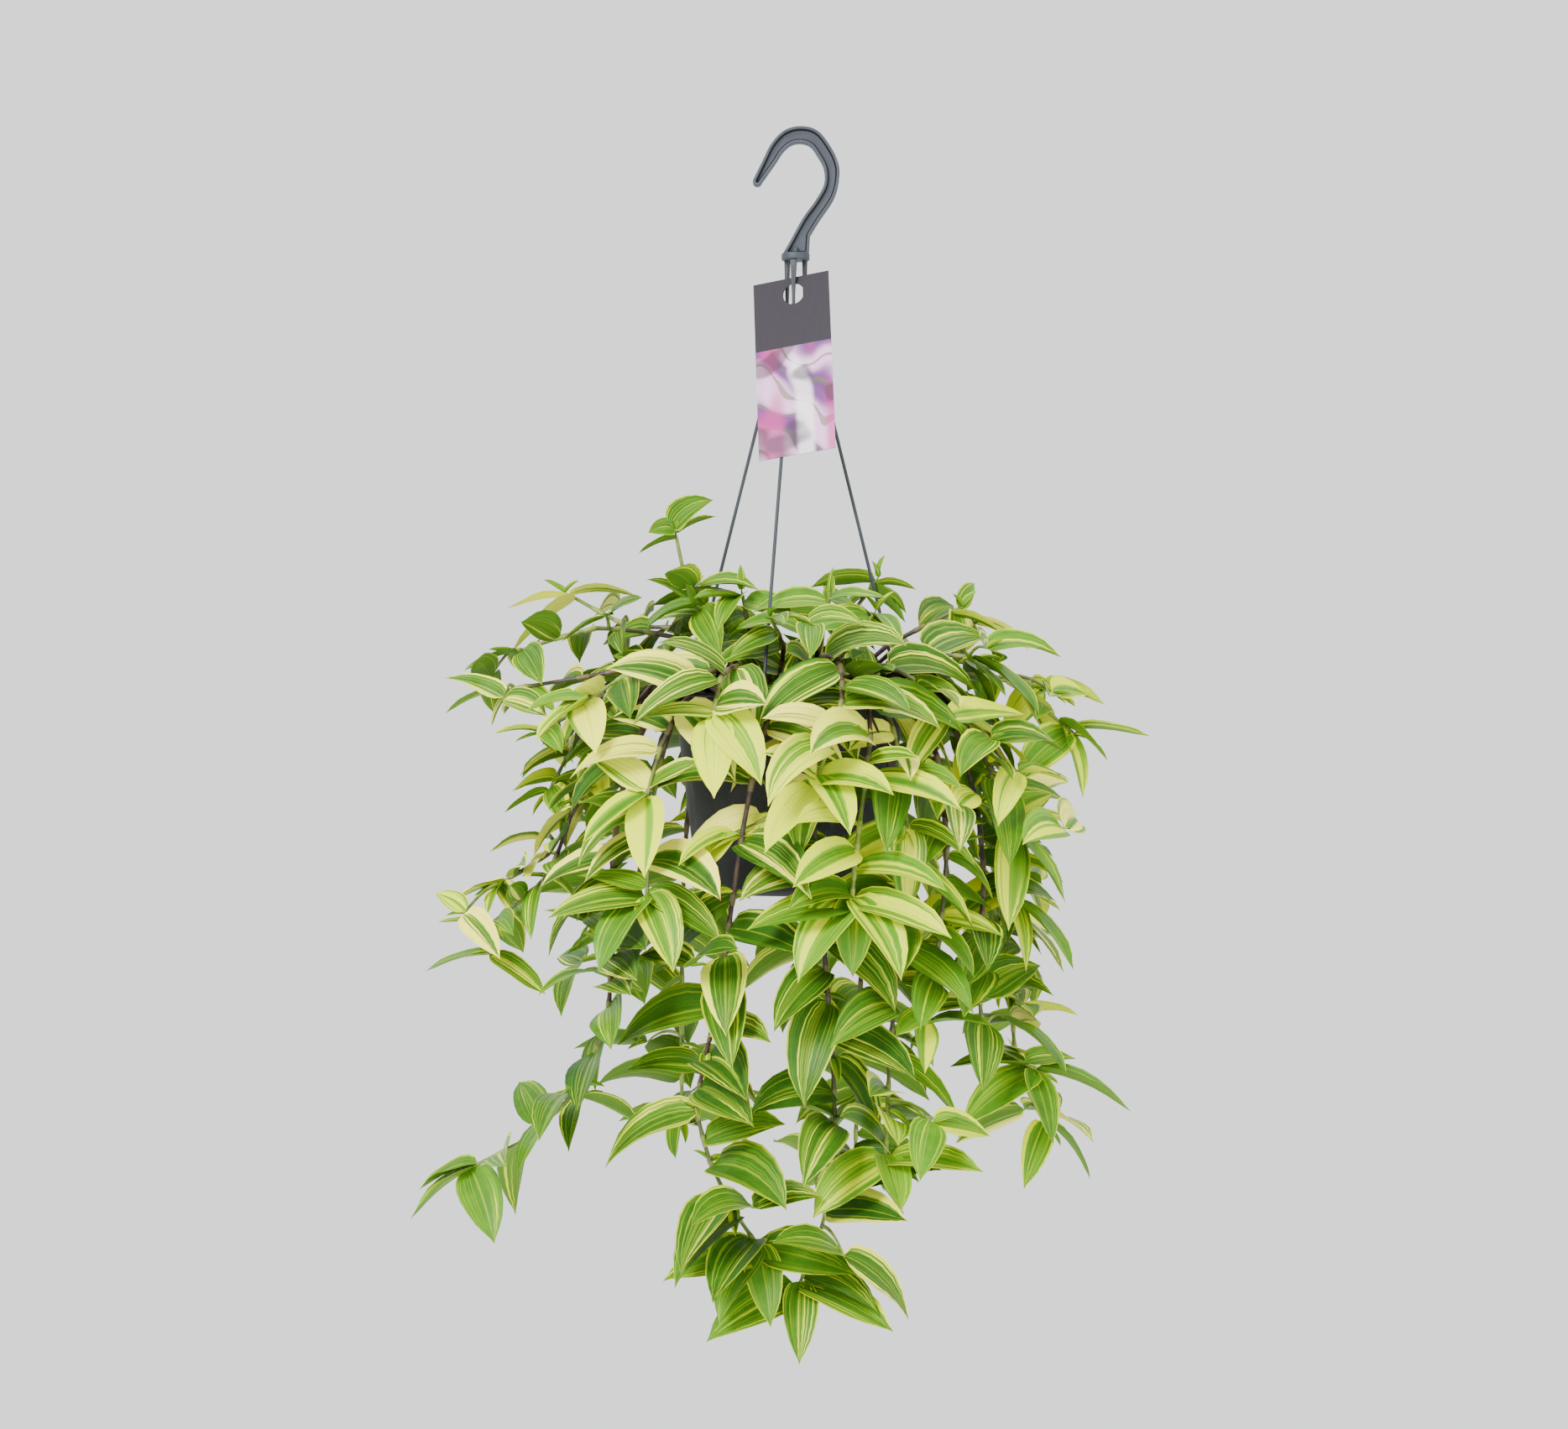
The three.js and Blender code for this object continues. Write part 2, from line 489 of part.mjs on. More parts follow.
// The leaves that a stem would like to carry: a fan at its tip, then one leaf a joint, side by side.
function leafWishes(index, spec, joints) {
  const draws = new Draws(977 * index + 11);
  const wishes = [];
  const last = joints.length - 1;
  const outwardAt = (place) => {
    const out = place.clone().sub(RIM_CENTRE);
    out.z = 0;
    return out.normalize();
  };
  const tipAhead = joints[last].clone().sub(joints[last - 1]);
  const tipHeading = Math.atan2(tipAhead.y, tipAhead.x) * 180 / Math.PI;
  const fan = spec.fan || [
    [tipHeading + draws.between(-30, 30), draws.between(-20, 25), spec.leaf * 0.8],
    [tipHeading + draws.between(80, 130), draws.between(-30, 20), spec.leaf * 0.92],
    [tipHeading - draws.between(80, 130), draws.between(-35, 10), spec.leaf],
  ];
  fan.forEach(([toward, pitch, length], i) => {
    const back = joints[last].clone().lerp(joints[last - 1], 0.06 + 0.06 * i);
    wishes.push({
      root: back, bearing: toward, pitch, bend: draws.between(20, 50), length,
      broad: draws.between(0.42, 0.52), fold: draws.between(8, 22), lean: draws.between(0.5, 1.2),
      outward: outwardAt(back),
    });
  });
  let side = draws.next() < 0.5 ? 1 : -1;
  for (let j = last - 1; j >= 1; j -= 1) {
    const ahead = joints[j + 1].clone().sub(joints[j - 1]).normalize();
    const outward = outwardAt(joints[j]);
    const mixed = outward.clone().multiplyScalar(0.7).add(ahead.setZ(0));
    const heading = Math.atan2(mixed.y, mixed.x) * 180 / Math.PI;
    const wish = {
      root: joints[j].clone().lerp(joints[j + 1], 0.1), bearing: heading + side * draws.between(40, 92),
      pitch: draws.between(-32, 20), bend: draws.between(28, 66),
      length: spec.leaf * draws.between(0.94, 1.16), broad: draws.between(0.42, 0.52),
      fold: draws.between(8, 24), lean: draws.between(0.5, 1.4), outward,
    };
    const skipped = spec.bare && j < spec.bare * last && j !== 2;
    if (!skipped) wishes.push(wish);
    side = -side;
  }
  return wishes;
}

// The midrib bends down in one arc; the blade's face leans outward, to the light.
function leafFrame(pose, t) {
  const pitch = rad(pose.pitch);
  const bend = rad(pose.bend);
  const now = pitch - bend * t;
  const reach = pose.length / bend * (Math.sin(pitch) - Math.sin(now));
  const rise = pose.length / bend * (Math.cos(now) - Math.cos(pitch));
  const heading = bearing(pose.bearing);
  const place = pose.root.clone().addScaledVector(heading, reach).addScaledVector(UP, rise);
  const along = heading.clone().multiplyScalar(Math.cos(now)).addScaledVector(UP, Math.sin(now));
  const face = heading.clone().multiplyScalar(-Math.sin(now)).addScaledVector(UP, Math.cos(now));
  const light = pose.outward.clone().addScaledVector(along, -pose.outward.dot(along));
  face.addScaledVector(light, pose.lean).normalize();
  const left = face.clone().cross(along);
  return { place, along, face, left };
}

const bladeWidth = (t) => Math.sin(Math.PI * t ** 0.6) ** 0.8;

// A closed blade. It has two edge points above and below at the shoulder, and from the belly on a
// midrib between them. With start above 0, only the outer part of the blade is made.
function leafGeometry(pose, start) {
  const down = (frame, point) => point.clone().addScaledVector(frame.face, -LEAF.thickness);
  const edge = (frame, t, sign) => {
    const half = pose.length * pose.broad / 2 * bladeWidth(t);
    return frame.place.clone().addScaledVector(frame.left, sign * half * Math.cos(rad(pose.fold)))
      .addScaledVector(frame.face, half * Math.sin(rad(pose.fold)));
  };
  const shoulderAt = Math.max(LEAF.shoulder, start + 0.08);
  const shoulder = leafFrame(pose, shoulderAt);
  const belly = leafFrame(pose, LEAF.belly);
  const [left, right] = [edge(shoulder, shoulderAt, 1), edge(shoulder, shoulderAt, -1)];
  const [farLeft, farRight] = [edge(belly, LEAF.belly, 1), edge(belly, LEAF.belly, -1)];
  const points = [
    leafFrame(pose, start).place, leafFrame(pose, 1).place,
    left, right, down(shoulder, left), down(shoulder, right),
    farLeft, belly.place, farRight,
    down(belly, farLeft), down(belly, belly.place), down(belly, farRight),
  ];
  const [root, tip, L, R, l, r, FL, FM, FR, fl, fm, fr] = points.keys();
  const index = [
    root, R, L, root, l, r, root, r, R, root, L, l,
    R, FR, FM, R, FM, L, L, FM, FL, // above
    r, fm, fr, r, l, fm, l, fl, fm, // below
    R, r, fr, R, fr, FR, L, fl, l, L, FL, fl, // edges
    FR, tip, FM, FM, tip, FL, fr, fm, tip, fm, fl, tip, FR, fr, tip, FL, tip, fl,
  ];
  const geometry = new THREE.BufferGeometry();
  const flat = points.flatMap((p) => p.toArray());
  geometry.setAttribute('position', new THREE.BufferAttribute(new Float32Array(flat), 3));
  geometry.setIndex(index);
  return geometry;
}

// What stands in the way of later pieces, with the box round each.
class Taken {
  constructor() {
    this.list = [];
  }

  add(solid) {
    this.list.push({ solid, box: solid.boundingBox() });
  }

  clears(solid, gap) {
    const box = solid.boundingBox();
    for (const other of this.list) {
      let near = true;
      for (let axis = 0; axis < 3; axis += 1) {
        if (box.min[axis] - gap > other.box.max[axis] || box.max[axis] + gap < other.box.min[axis]) near = false;
      }
      if (near && solid.minGap(other.solid, gap) < gap) return false;
    }
    return true;
  }
}

const pot = makePot();
const hook = makeHook();
const tag = makeTag();
const rods = Object.entries(ROD_ANGLES).map(([name, angle]) => ({ name, solid: makeRod(angle) }));

const frameParts = new Taken();
for (const solid of [pot, hook, tag, ...rods.map((rod) => rod.solid)]) frameParts.add(solid);

// Every stem first, so that leaves can keep off all of them.
const stems = STEMS.map((spec, index) => ({ spec, index }));
const tubes = new Taken();
for (const stem of stems) {
  for (let attempt = 0; attempt < STEM.tries && !stem.solid; attempt += 1) {
    const way = stemWay(stem.index, stem.spec, attempt);
    const solid = tube(way.line, STEM.radius, STEM.sides);
    if (frameParts.clears(solid, 1) && tubes.clears(solid, 1.4)) Object.assign(stem, way, { solid, attempt });
    else solid.delete();
  }
  if (!stem.solid) throw new Error(`stem ${stem.index + 1} finds no way`);
  tubes.add(stem.solid);
}

const soil = makeSoil(stems);
frameParts.add(soil);

const foliage = [];
const taken = new Taken();
for (const stem of stems) {
  const others = new Taken();
  for (const other of stems) if (other !== stem) others.add(other.solid);
  const own = new Taken();
  let solid = stem.solid;
  for (const wish of leafWishes(stem.index, stem.spec, stem.joints)) {
    for (let attempt = 0; attempt < LEAF.tries; attempt += 1) {
      const pose = leafPose(wish, attempt);
      const blade = solidOf(leafGeometry(pose, 0));
      const outer = solidOf(leafGeometry(pose, LEAF.holdOff));
      const free = frameParts.clears(blade, GAP) && others.clears(blade, GAP)
        && taken.clears(blade, GAP) && own.clears(outer, GAP);
      if (free) {
        own.add(outer);
        foliage.push(blade);
        solid = solid.add(blade);
        break;
      }
      blade.delete();
      outer.delete();
    }
  }
  stem.whole = solid;
  taken.add(solid);
}

const group = new THREE.Group();
group.add(meshOf('hook', hook, 0x5f666e, 0.5));
for (const rod of rods) group.add(meshOf(rod.name, rod.solid, 0x51575e, 0.5));
group.add(meshOf('tag', tag, 0x7b7486, 0.6));
group.add(meshOf('pot', pot, 0x2b2c2e, 0.45));
group.add(meshOf('soil', soil, 0x3a2c22, 0.95));
for (const stem of stems) {
  const name = `stem_${String(stem.index + 1).padStart(2, '0')}`;
  group.add(meshOf(name, stem.whole, LEAF_COLOURS[stem.spec.kind], 0.45));
}

export default group;
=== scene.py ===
# %% [markdown]
# # A trailing tradescantia in a hanging nursery pot
# A hook, three rods, a card tag, a pot, soil and forty-nine leafy stems come from the frame as plain
# solids. This lesson gives each of them its fine shape and its finish. Everything is in metres.

# %% Tools
import math
import random
import bmesh
import bpy
import numpy as np
from mathutils import Matrix, Vector
from mathutils import noise as roughly
from mathutils.bvhtree import BVHTree
from mathutils.kdtree import KDTree


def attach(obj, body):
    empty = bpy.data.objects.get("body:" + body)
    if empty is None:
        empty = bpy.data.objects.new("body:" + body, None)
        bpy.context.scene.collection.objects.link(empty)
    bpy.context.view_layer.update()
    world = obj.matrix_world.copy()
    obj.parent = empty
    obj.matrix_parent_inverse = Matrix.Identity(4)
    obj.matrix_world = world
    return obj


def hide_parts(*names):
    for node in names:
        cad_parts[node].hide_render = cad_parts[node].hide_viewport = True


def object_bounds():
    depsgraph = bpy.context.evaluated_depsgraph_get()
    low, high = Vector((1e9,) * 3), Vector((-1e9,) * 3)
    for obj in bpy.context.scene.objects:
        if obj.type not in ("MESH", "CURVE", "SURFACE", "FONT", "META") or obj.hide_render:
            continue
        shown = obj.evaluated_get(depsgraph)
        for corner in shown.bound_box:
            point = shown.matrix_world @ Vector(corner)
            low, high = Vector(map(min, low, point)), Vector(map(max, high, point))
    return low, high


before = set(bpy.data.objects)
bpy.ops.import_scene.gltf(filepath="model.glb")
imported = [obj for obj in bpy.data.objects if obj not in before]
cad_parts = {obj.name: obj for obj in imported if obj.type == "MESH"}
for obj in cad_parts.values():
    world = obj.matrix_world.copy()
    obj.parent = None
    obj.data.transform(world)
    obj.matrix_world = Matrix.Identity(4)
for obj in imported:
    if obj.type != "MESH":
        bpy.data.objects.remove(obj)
cad_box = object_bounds()
print("frame:", len(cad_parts), "nodes, box", [tuple(round(v, 3) for v in p) for p in cad_box])

# %% [markdown]
# ## Sizes
# The solids were made from a few named sizes in millimetres. The finer pieces have to lie on the
# same sizes, so they are repeated here.

# %% Sizes shared with the solids
MM = 0.001
RIM_CENTRE = np.array([-7.0, 0.0, -351.0])
POT = dict(mouth=74.0, foot=58.5, height=126.0, wall=1.4, foot_round=4.0, flange=80.0,
           flange_thickness=2.2, skirt=7.0, drain_holes=6, drain_radius=4.5, drain_circle=40.0)
SOIL_BELOW_RIM = 15.0
HOOK = dict(thickness=7.0, rib=1.8, recess=2.3, plate_radius=9.0, plate_x=-3.2, plate_top=-70.4,
            plate_bottom=-74.6)
ROD = dict(radius=1.1, top_circle=6.4, rim_circle=77.2, head_width=4.4, head_depth=2.2, bend=-103.0,
           barb_radius=1.8, barb_height=3.0)
ROD_ANGLES = {"rod_left": 146, "rod_front": 258, "rod_right": 24}
TAG = dict(width=51.0, height=122.0, thickness=0.6, hole_radius=7.0, hole_down=11.5, hole_across=27.0,
           across=(0.936, -0.325, 0.138))
GAP = 0.3
STEM = dict(radius=2.1, root_depth=22.0, spacing=48.0, tries=150)
LEAF = dict(thickness=0.7, tries=14)
print("pot", 2 * POT["flange"], "mm wide, its rim", -RIM_CENTRE[2], "mm under the hook's seat")


# %% Directions and smooth lines
def bearing(degrees):
    """A level direction, counted from +X toward +Y."""
    return np.array([math.cos(math.radians(degrees)), math.sin(math.radians(degrees)), 0.0])


def degrees_of(direction):
    """The bearing of a direction, in degrees."""
    return math.degrees(math.atan2(direction[1], direction[0]))


def length_of(vector):
    return float(np.sqrt(vector @ vector))


def unit(vector):
    return vector / length_of(vector)


def outward_at(place):
    """The level direction from the pot's axis to a place."""
    return unit((place - RIM_CENTRE) * (1, 1, 0))


def smooth_point(points, i, t):
    """The place at share t between points i and i + 1, on the smooth curve through all of them."""
    before, start, end, after = (points[min(max(k, 0), len(points) - 1)] for k in range(i - 1, i + 3))
    return (before * (-0.5 * t * t * t + t * t - 0.5 * t) + start * (1.5 * t * t * t - 2.5 * t * t + 1)
            + end * (-1.5 * t * t * t + 2 * t * t + 0.5 * t) + after * (0.5 * t * t * t - 0.5 * t * t))


def arc_point(start, corner, end, t):
    """The place at share t of the arc from start to end that bends toward the corner."""
    return start * (1 - t) ** 2 + corner * 2 * t * (1 - t) + end * t * t


def rounded(points, radii, steps):
    """The line through these points, with each inner corner as a short arc."""
    points = [np.array(p, float) for p in points]
    line = [points[0]]
    for before, corner, after, radius in zip(points, points[1:], points[2:], radii):
        start, end = corner + unit(before - corner) * radius, corner + unit(after - corner) * radius
        line += [arc_point(start, corner, end, i / steps) for i in range(steps + 1)]
    return line + [points[-1]]


# %% [markdown]
# ## Shader maths as Python
# A material is a graph of small nodes. Writing `1 - mask * 0.5` is easier to read than ten lines
# of links, so a small class wraps a socket and turns Python's operators into Math nodes.

# %% A wire and a paint pot
class Wire:
    def __init__(self, paint, socket):
        self.paint = paint
        self.socket = socket

    def maths(self, operation, *values):
        return self.paint.node("ShaderNodeMath", dict(operation=operation), dict(enumerate(values)))

    def __add__(self, other): return self.maths("ADD", self, other)
    def __radd__(self, other): return self.maths("ADD", other, self)
    def __sub__(self, other): return self.maths("SUBTRACT", self, other)
    def __rsub__(self, other): return self.maths("SUBTRACT", other, self)
    def __mul__(self, other): return self.maths("MULTIPLY", self, other)
    def __abs__(self): return self.maths("ABSOLUTE", self)
    def sine(self): return self.maths("SINE", self)
    def fraction(self): return self.maths("FRACT", self)

    def over(self, low, high):
        """0 below low, 1 above high, and a soft step between them."""
        return self.paint.node("ShaderNodeMapRange", dict(interpolation_type="SMOOTHSTEP"),
                               {"Value": self, "From Min": low, "From Max": high})


class Paint:
    def __init__(self, name, **fixed):
        self.material = bpy.data.materials.new(name)
        self.material.use_nodes = True
        self.tree = self.material.node_tree
        self.shader = self.tree.nodes["Principled BSDF"]
        for socket, value in fixed.items():
            self.shader.inputs[socket.replace("_", " ")].default_value = value

    def node(self, kind, settings=None, inputs=None, out=0):
        node = self.tree.nodes.new(kind)
        for key, value in (settings or {}).items():
            setattr(node, key, value)
        for key, value in (inputs or {}).items():
            if isinstance(value, Wire):
                self.tree.links.new(value.socket, node.inputs[key])
            else:
                node.inputs[key].default_value = value
        return Wire(self, node.outputs[out])

    def parts(self, vector):
        split = self.node("ShaderNodeSeparateXYZ", None, {0: vector}).socket.node
        return [Wire(self, split.outputs[i]) for i in range(3)]

    def vector(self, x, y, z):
        return self.node("ShaderNodeCombineXYZ", None, {0: x, 1: y, 2: z})

    def place(self):
        return self.node("ShaderNodeTexCoord", None, None, out=3)

    def own_map(self, name):
        """Across and up on a piece's own map."""
        return self.parts(self.node("ShaderNodeUVMap", dict(uv_map=name)))[:2]

    def growth(self):
        """The four values that each vertex of the foliage carries."""
        values = self.node("ShaderNodeAttribute", dict(attribute_name="growth"))
        split = self.node("ShaderNodeSeparateColor", None, {0: values}).socket.node
        three = [Wire(self, split.outputs[i]) for i in range(3)]
        return three + [Wire(self, values.socket.node.outputs["Alpha"])]

    def noise(self, vector, scale, detail=2.0, roughness=0.5):
        return self.node("ShaderNodeTexNoise", None,
                         {"Vector": vector, "Scale": scale, "Detail": detail, "Roughness": roughness})

    def mix(self, share, first, second):
        return self.node("ShaderNodeMix", dict(data_type="RGBA"), {0: share, 6: first, 7: second},
                         out=2)

    def feed(self, **wires):
        for socket, wire in wires.items():
            self.tree.links.new(wire.socket, self.shader.inputs[socket.replace("_", " ")])

    def bump(self, height, distance):
        self.feed(Normal=self.node("ShaderNodeBump", None,
                                   {"Height": height, "Distance": distance, "Strength": 1.0}))


def colour(hexadecimal):
    """A web colour, as the linear light that a shader works in."""
    values = [int(hexadecimal[i:i + 2], 16) / 255 for i in (0, 2, 4)]
    return tuple(v / 12.92 if v <= 0.04045 else ((v + 0.055) / 1.055) ** 2.4 for v in values) + (1.0,)


print("green is", [round(v, 3) for v in colour("5f9a33")])

# %% [markdown]
# ## Helpers for meshes
# A tube grows from a circle: its edges are extruded again and again, and each new ring is carried
# on to the next point of its way. That is how the rods and the stems are made.

# %% Make an object, and finish a piece
def new_object(name, mesh):
    """An object of the scene that takes over the mesh."""
    built = bpy.data.meshes.new(name)
    mesh.to_mesh(built)
    mesh.free()
    made = bpy.data.objects.new(name, built)
    bpy.context.scene.collection.objects.link(made)
    return made


def finish_piece(name, mesh, materials, replaced):
    """The mesh becomes a piece that rides on the object and stands for these nodes."""
    piece = new_object(name, mesh)
    for material in materials:
        piece.data.materials.append(material)
    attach(piece, "root")
    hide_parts(*replaced)
    return piece


# %% Sweep a tube
def unique(items):
    """The items without repeats, in the order in which they come."""
    return list(dict.fromkeys(items))


def sweep(mesh, way, radii, sides, mark=None):
    """A round tube along the way. mark(vertex, i) may note something on each ring's vertices."""
    ring = bmesh.ops.create_circle(mesh, cap_ends=True, radius=1.0, segments=sides)["verts"]
    edges = unique(edge for vertex in ring for edge in vertex.link_edges)
    faces = unique(face for vertex in ring for face in vertex.link_faces)
    ahead = (way[1] - way[0]).normalized()
    turn = Vector((0, 0, 1)).rotation_difference(ahead)
    now = Matrix.LocRotScale(way[0], turn, Vector((radii[0],) * 3))
    bmesh.ops.transform(mesh, matrix=now, verts=ring)
    for i in range(len(way)):
        if i > 0:
            to_next = (way[min(i + 1, len(way) - 1)] - way[i - 1]).normalized()
            turn = ahead.rotation_difference(to_next) @ turn
            ahead = to_next
            grown = bmesh.ops.extrude_edge_only(mesh, edges=edges)["geom"]
            ring = [g for g in grown if isinstance(g, bmesh.types.BMVert)]
            edges = [g for g in grown if isinstance(g, bmesh.types.BMEdge)]
            faces += [g for g in grown if isinstance(g, bmesh.types.BMFace)]
            after = Matrix.LocRotScale(way[i], turn, Vector((radii[i],) * 3))
            bmesh.ops.transform(mesh, matrix=after @ now.inverted(), verts=ring)
            now = after
        if mark:
            for vertex in ring:
                mark(vertex, i)
    end = bmesh.ops.edgeloop_fill(mesh, edges=edges)["faces"]
    faces += end
    bmesh.ops.recalc_face_normals(mesh, faces=faces)
    for face in faces:
        face.smooth = face not in end


# %% Simple bodies with sizes in millimetres, and their edges
def add_cone(mesh, low, high, depth, segments, centre):
    """A capped cone or cylinder that stands upright, with its middle at centre."""
    made = bmesh.ops.create_cone(mesh, cap_ends=True, segments=segments, radius1=low * MM,
                                 radius2=high * MM, depth=depth * MM)["verts"]
    bmesh.ops.translate(mesh, verts=made, vec=Vector(centre) * MM)
    return made


def add_box(mesh, *sides):
    made = bmesh.ops.create_cube(mesh, size=1.0)["verts"]
    bmesh.ops.scale(mesh, verts=made, vec=[side * MM for side in sides])
    return made


def spin(profile, steps):
    """A round body: (radius, height) pairs, spun about the vertical axis."""
    mesh = bmesh.new()
    points = [mesh.verts.new(Vector((r, 0, z)) * MM) for r, z in profile]
    lines = [mesh.edges.new(pair) for pair in zip(points, points[1:])]
    bmesh.ops.spin(mesh, geom=points + lines, cent=(0, 0, 0), axis=(0, 0, 1), dvec=(0, 0, 0),
                   angle=2 * math.pi, steps=steps, use_merge=True)
    bmesh.ops.remove_doubles(mesh, verts=mesh.verts[:], dist=1e-6)
    bmesh.ops.recalc_face_normals(mesh, faces=mesh.faces[:])
    return mesh


def sharp_edges(edges, degrees=35):
    """Those of the edges at which two faces meet at more than this angle."""
    return [edge for edge in edges
            if edge.is_manifold and math.degrees(edge.calc_face_angle(0)) > degrees]


def bevel(mesh, edges, offset, segments=2):
    return bmesh.ops.bevel(mesh, geom=edges, offset=offset * MM, segments=segments, profile=0.5,
                           affect="EDGES", clamp_overlap=True, material=-1)


def smooth_all(mesh):
    for face in mesh.faces:
        face.smooth = True


# %% [markdown]
# ## Camera
# The photograph is taken level, from straight in front, far enough away that near leaves look only
# a little larger. The camera is made first, so that everything else can be compared with it.

# %% The photograph's camera
PHOTO_WIDTH = 1868
PIXELS_PER_MM = 1.868
EYE = Vector((-10.6, -1800.0, -364.3)) * MM
camera = bpy.data.objects.new("camera", bpy.data.cameras.new("camera"))
camera.data.sensor_width = 36.0
camera.data.lens = 36.0 * -EYE.y / (PHOTO_WIDTH / PIXELS_PER_MM * MM)
camera.location = EYE
camera.rotation_euler = (math.radians(90), 0, 0)
bpy.context.scene.collection.objects.link(camera)
bpy.context.scene.camera = camera
print("lens", round(camera.data.lens, 2), "mm")

# %% [markdown]
# ## How the stems and leaves grow
# The solids' stems follow a rule with seeded draws. The same rule is worked out again here, which
# gives the true line of every stem and the true pose of every leaf. Where the rule has several
# tries, the node's own corners tell which one was taken.

